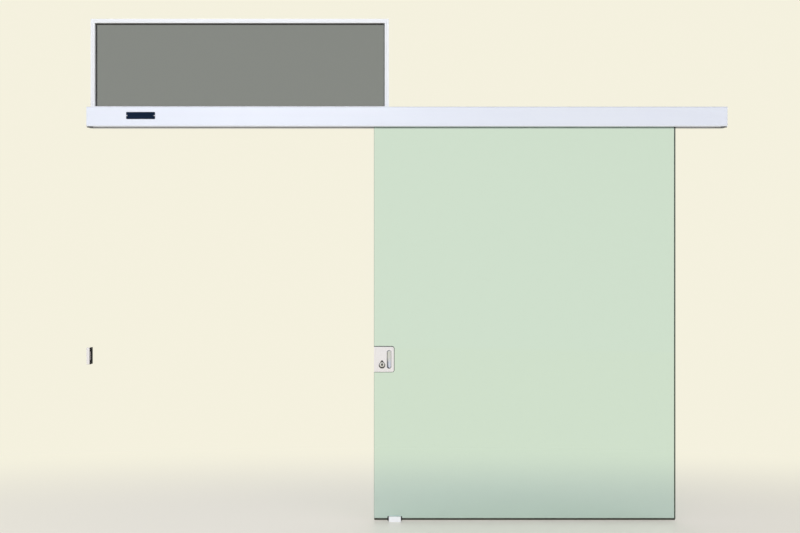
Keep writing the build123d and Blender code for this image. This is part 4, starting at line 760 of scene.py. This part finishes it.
teeth = bmesh.new()
bmesh.ops.create_circle(teeth, cap_ends=True, segments=8, radius=TOOTH_RADIUS,
                        matrix=facing_front(drive_x, belt_low.y + TOOTH_SHORT, axis_z + inside))
grown = bmesh.ops.extrude_face_region(teeth, geom=teeth.faces[:])
for vertex in only(bmesh.types.BMVert, grown["geom"]):
    vertex.co.y = belt_high.y - TOOTH_SHORT
first_tooth = whole(teeth)
for number in range(1, round((drive_x - idler_x) / TOOTH_PITCH) + 1):
    copied(teeth, first_tooth, Matrix.Translation((-TOOTH_PITCH * number, 0, 0)))
copied(teeth, whole(teeth), Matrix.Translation((0, 0, -2 * inside)))
home = Matrix.Translation((-drive_x, 0, -axis_z))
for hub_x, turn in ((drive_x, 1), (idler_x, -1)):
    for number in range(1, GROOVES // 2):
        spin = Matrix.Rotation(math.radians(turn * number * 360 / GROOVES), 4, "Y")
        copied(teeth, first_tooth, Matrix.Translation((hub_x, 0, axis_z)) @ spin @ home)
piece(teeth, "belt_teeth", rubber_skin, "header")

# %% [markdown]
# ## Ball bearings in the wheels
# Each wheel turns on a small sealed bearing, which shows as a bright ring round its stud. The ring is
# a flat profile spun once round the axle, with a groove for the seal.

# %% Press in the bearing shields
SHIELD_WIDTH = 0.0036
SHIELD_PROUD, SEAL_PROUD = 0.00012, 0.00004
SEAL_FROM, SEAL_TO = 0.35, 0.45
WHEEL_BORE, ROLLER_BORE = 0.0042, 0.0032


def shield(name, centre, face_y, outward, bore, body):
    """A thin ring on one face of a wheel, a tenth of a millimetre proud of it."""
    shape = bmesh.new()
    outer = bore + SHIELD_WIDTH
    steps = [(bore, 0.0), (bore, SHIELD_PROUD), (bore + SHIELD_WIDTH * SEAL_FROM, SHIELD_PROUD),
             (bore + SHIELD_WIDTH * SEAL_TO, SEAL_PROUD), (outer, SHIELD_PROUD), (outer, 0.0)]
    profile = [shape.verts.new((centre[0] + radius, face_y + outward * proud, centre[1]))
               for radius, proud in steps]
    sides = [shape.edges.new((profile[n], profile[(n + 1) % len(profile)])) for n in range(len(profile))]
    bmesh.ops.spin(shape, geom=profile + sides, cent=(centre[0], face_y, centre[1]), axis=(0, 1, 0),
                   angle=math.tau, steps=32, use_merge=True)
    piece(shape, name, chrome_skin, body)


wheels = [name for name in parts if name.startswith(("wheel_", "counter_roller_"))]
for name in wheels:
    low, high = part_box(name)
    bore = WHEEL_BORE if name.startswith("wheel_") else ROLLER_BORE
    shield(f"{name}_shield_front", middle_of(name), low.y, -1, bore, name)
    shield(f"{name}_shield_back", middle_of(name), high.y, 1, bore, name)

# %% [markdown]
# ## Plugs on the control unit
# Each socket of the control unit holds a green screw plug. A plug is a bevelled block with the heads
# of its two screws on the front, which are small discs.

# %% Fit the plugs
SOCKETS = 6
SOCKETS_START = 0.010
PLUG_LEFT, PLUG_RIGHT = 0.0006, 0.0104
PLUG_LOW, PLUG_HIGH = 2.4116, 2.4204
PLUG_PROUD, PLUG_DEEP = 0.0005, 0.006
PLUG_BEVEL = 0.0006
SCREW_RADIUS, SCREW_THICK = 0.0016, 0.0008
SCREW_LEFT, SCREW_SPACING = 0.0031, 0.0048
SCREW_PROUD = 0.0006

unit_low, unit_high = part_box("control_unit")
pitch = (unit_high.x - unit_low.x - 2 * SOCKETS_START) / SOCKETS
lefts = [unit_low.x + SOCKETS_START + number * pitch for number in range(SOCKETS)]
plugs = bmesh.new()
for left in lefts:
    made = block(plugs, (left + PLUG_LEFT, unit_low.y - PLUG_PROUD, PLUG_LOW),
                 (left + PLUG_RIGHT, unit_low.y + PLUG_DEEP, PLUG_HIGH))
    round_edges(plugs, edges_along(made, Z), PLUG_BEVEL, 2)
for left in lefts:
    for screw in (left + SCREW_LEFT, left + SCREW_LEFT + SCREW_SPACING):
        place = facing_front(screw, unit_low.y - SCREW_PROUD, (PLUG_LOW + PLUG_HIGH) / 2)
        bmesh.ops.create_cone(plugs, cap_ends=True, segments=16, radius1=SCREW_RADIUS, radius2=SCREW_RADIUS,
                              depth=SCREW_THICK, matrix=place)
plug_green = finish("terminal_green", (0.02, 0.16, 0.06), (0.03, 0.22, 0.09), (0.35, 0.48),
                    even(900), 0.00003)
piece(plugs, "control_plugs", plug_green, "header")
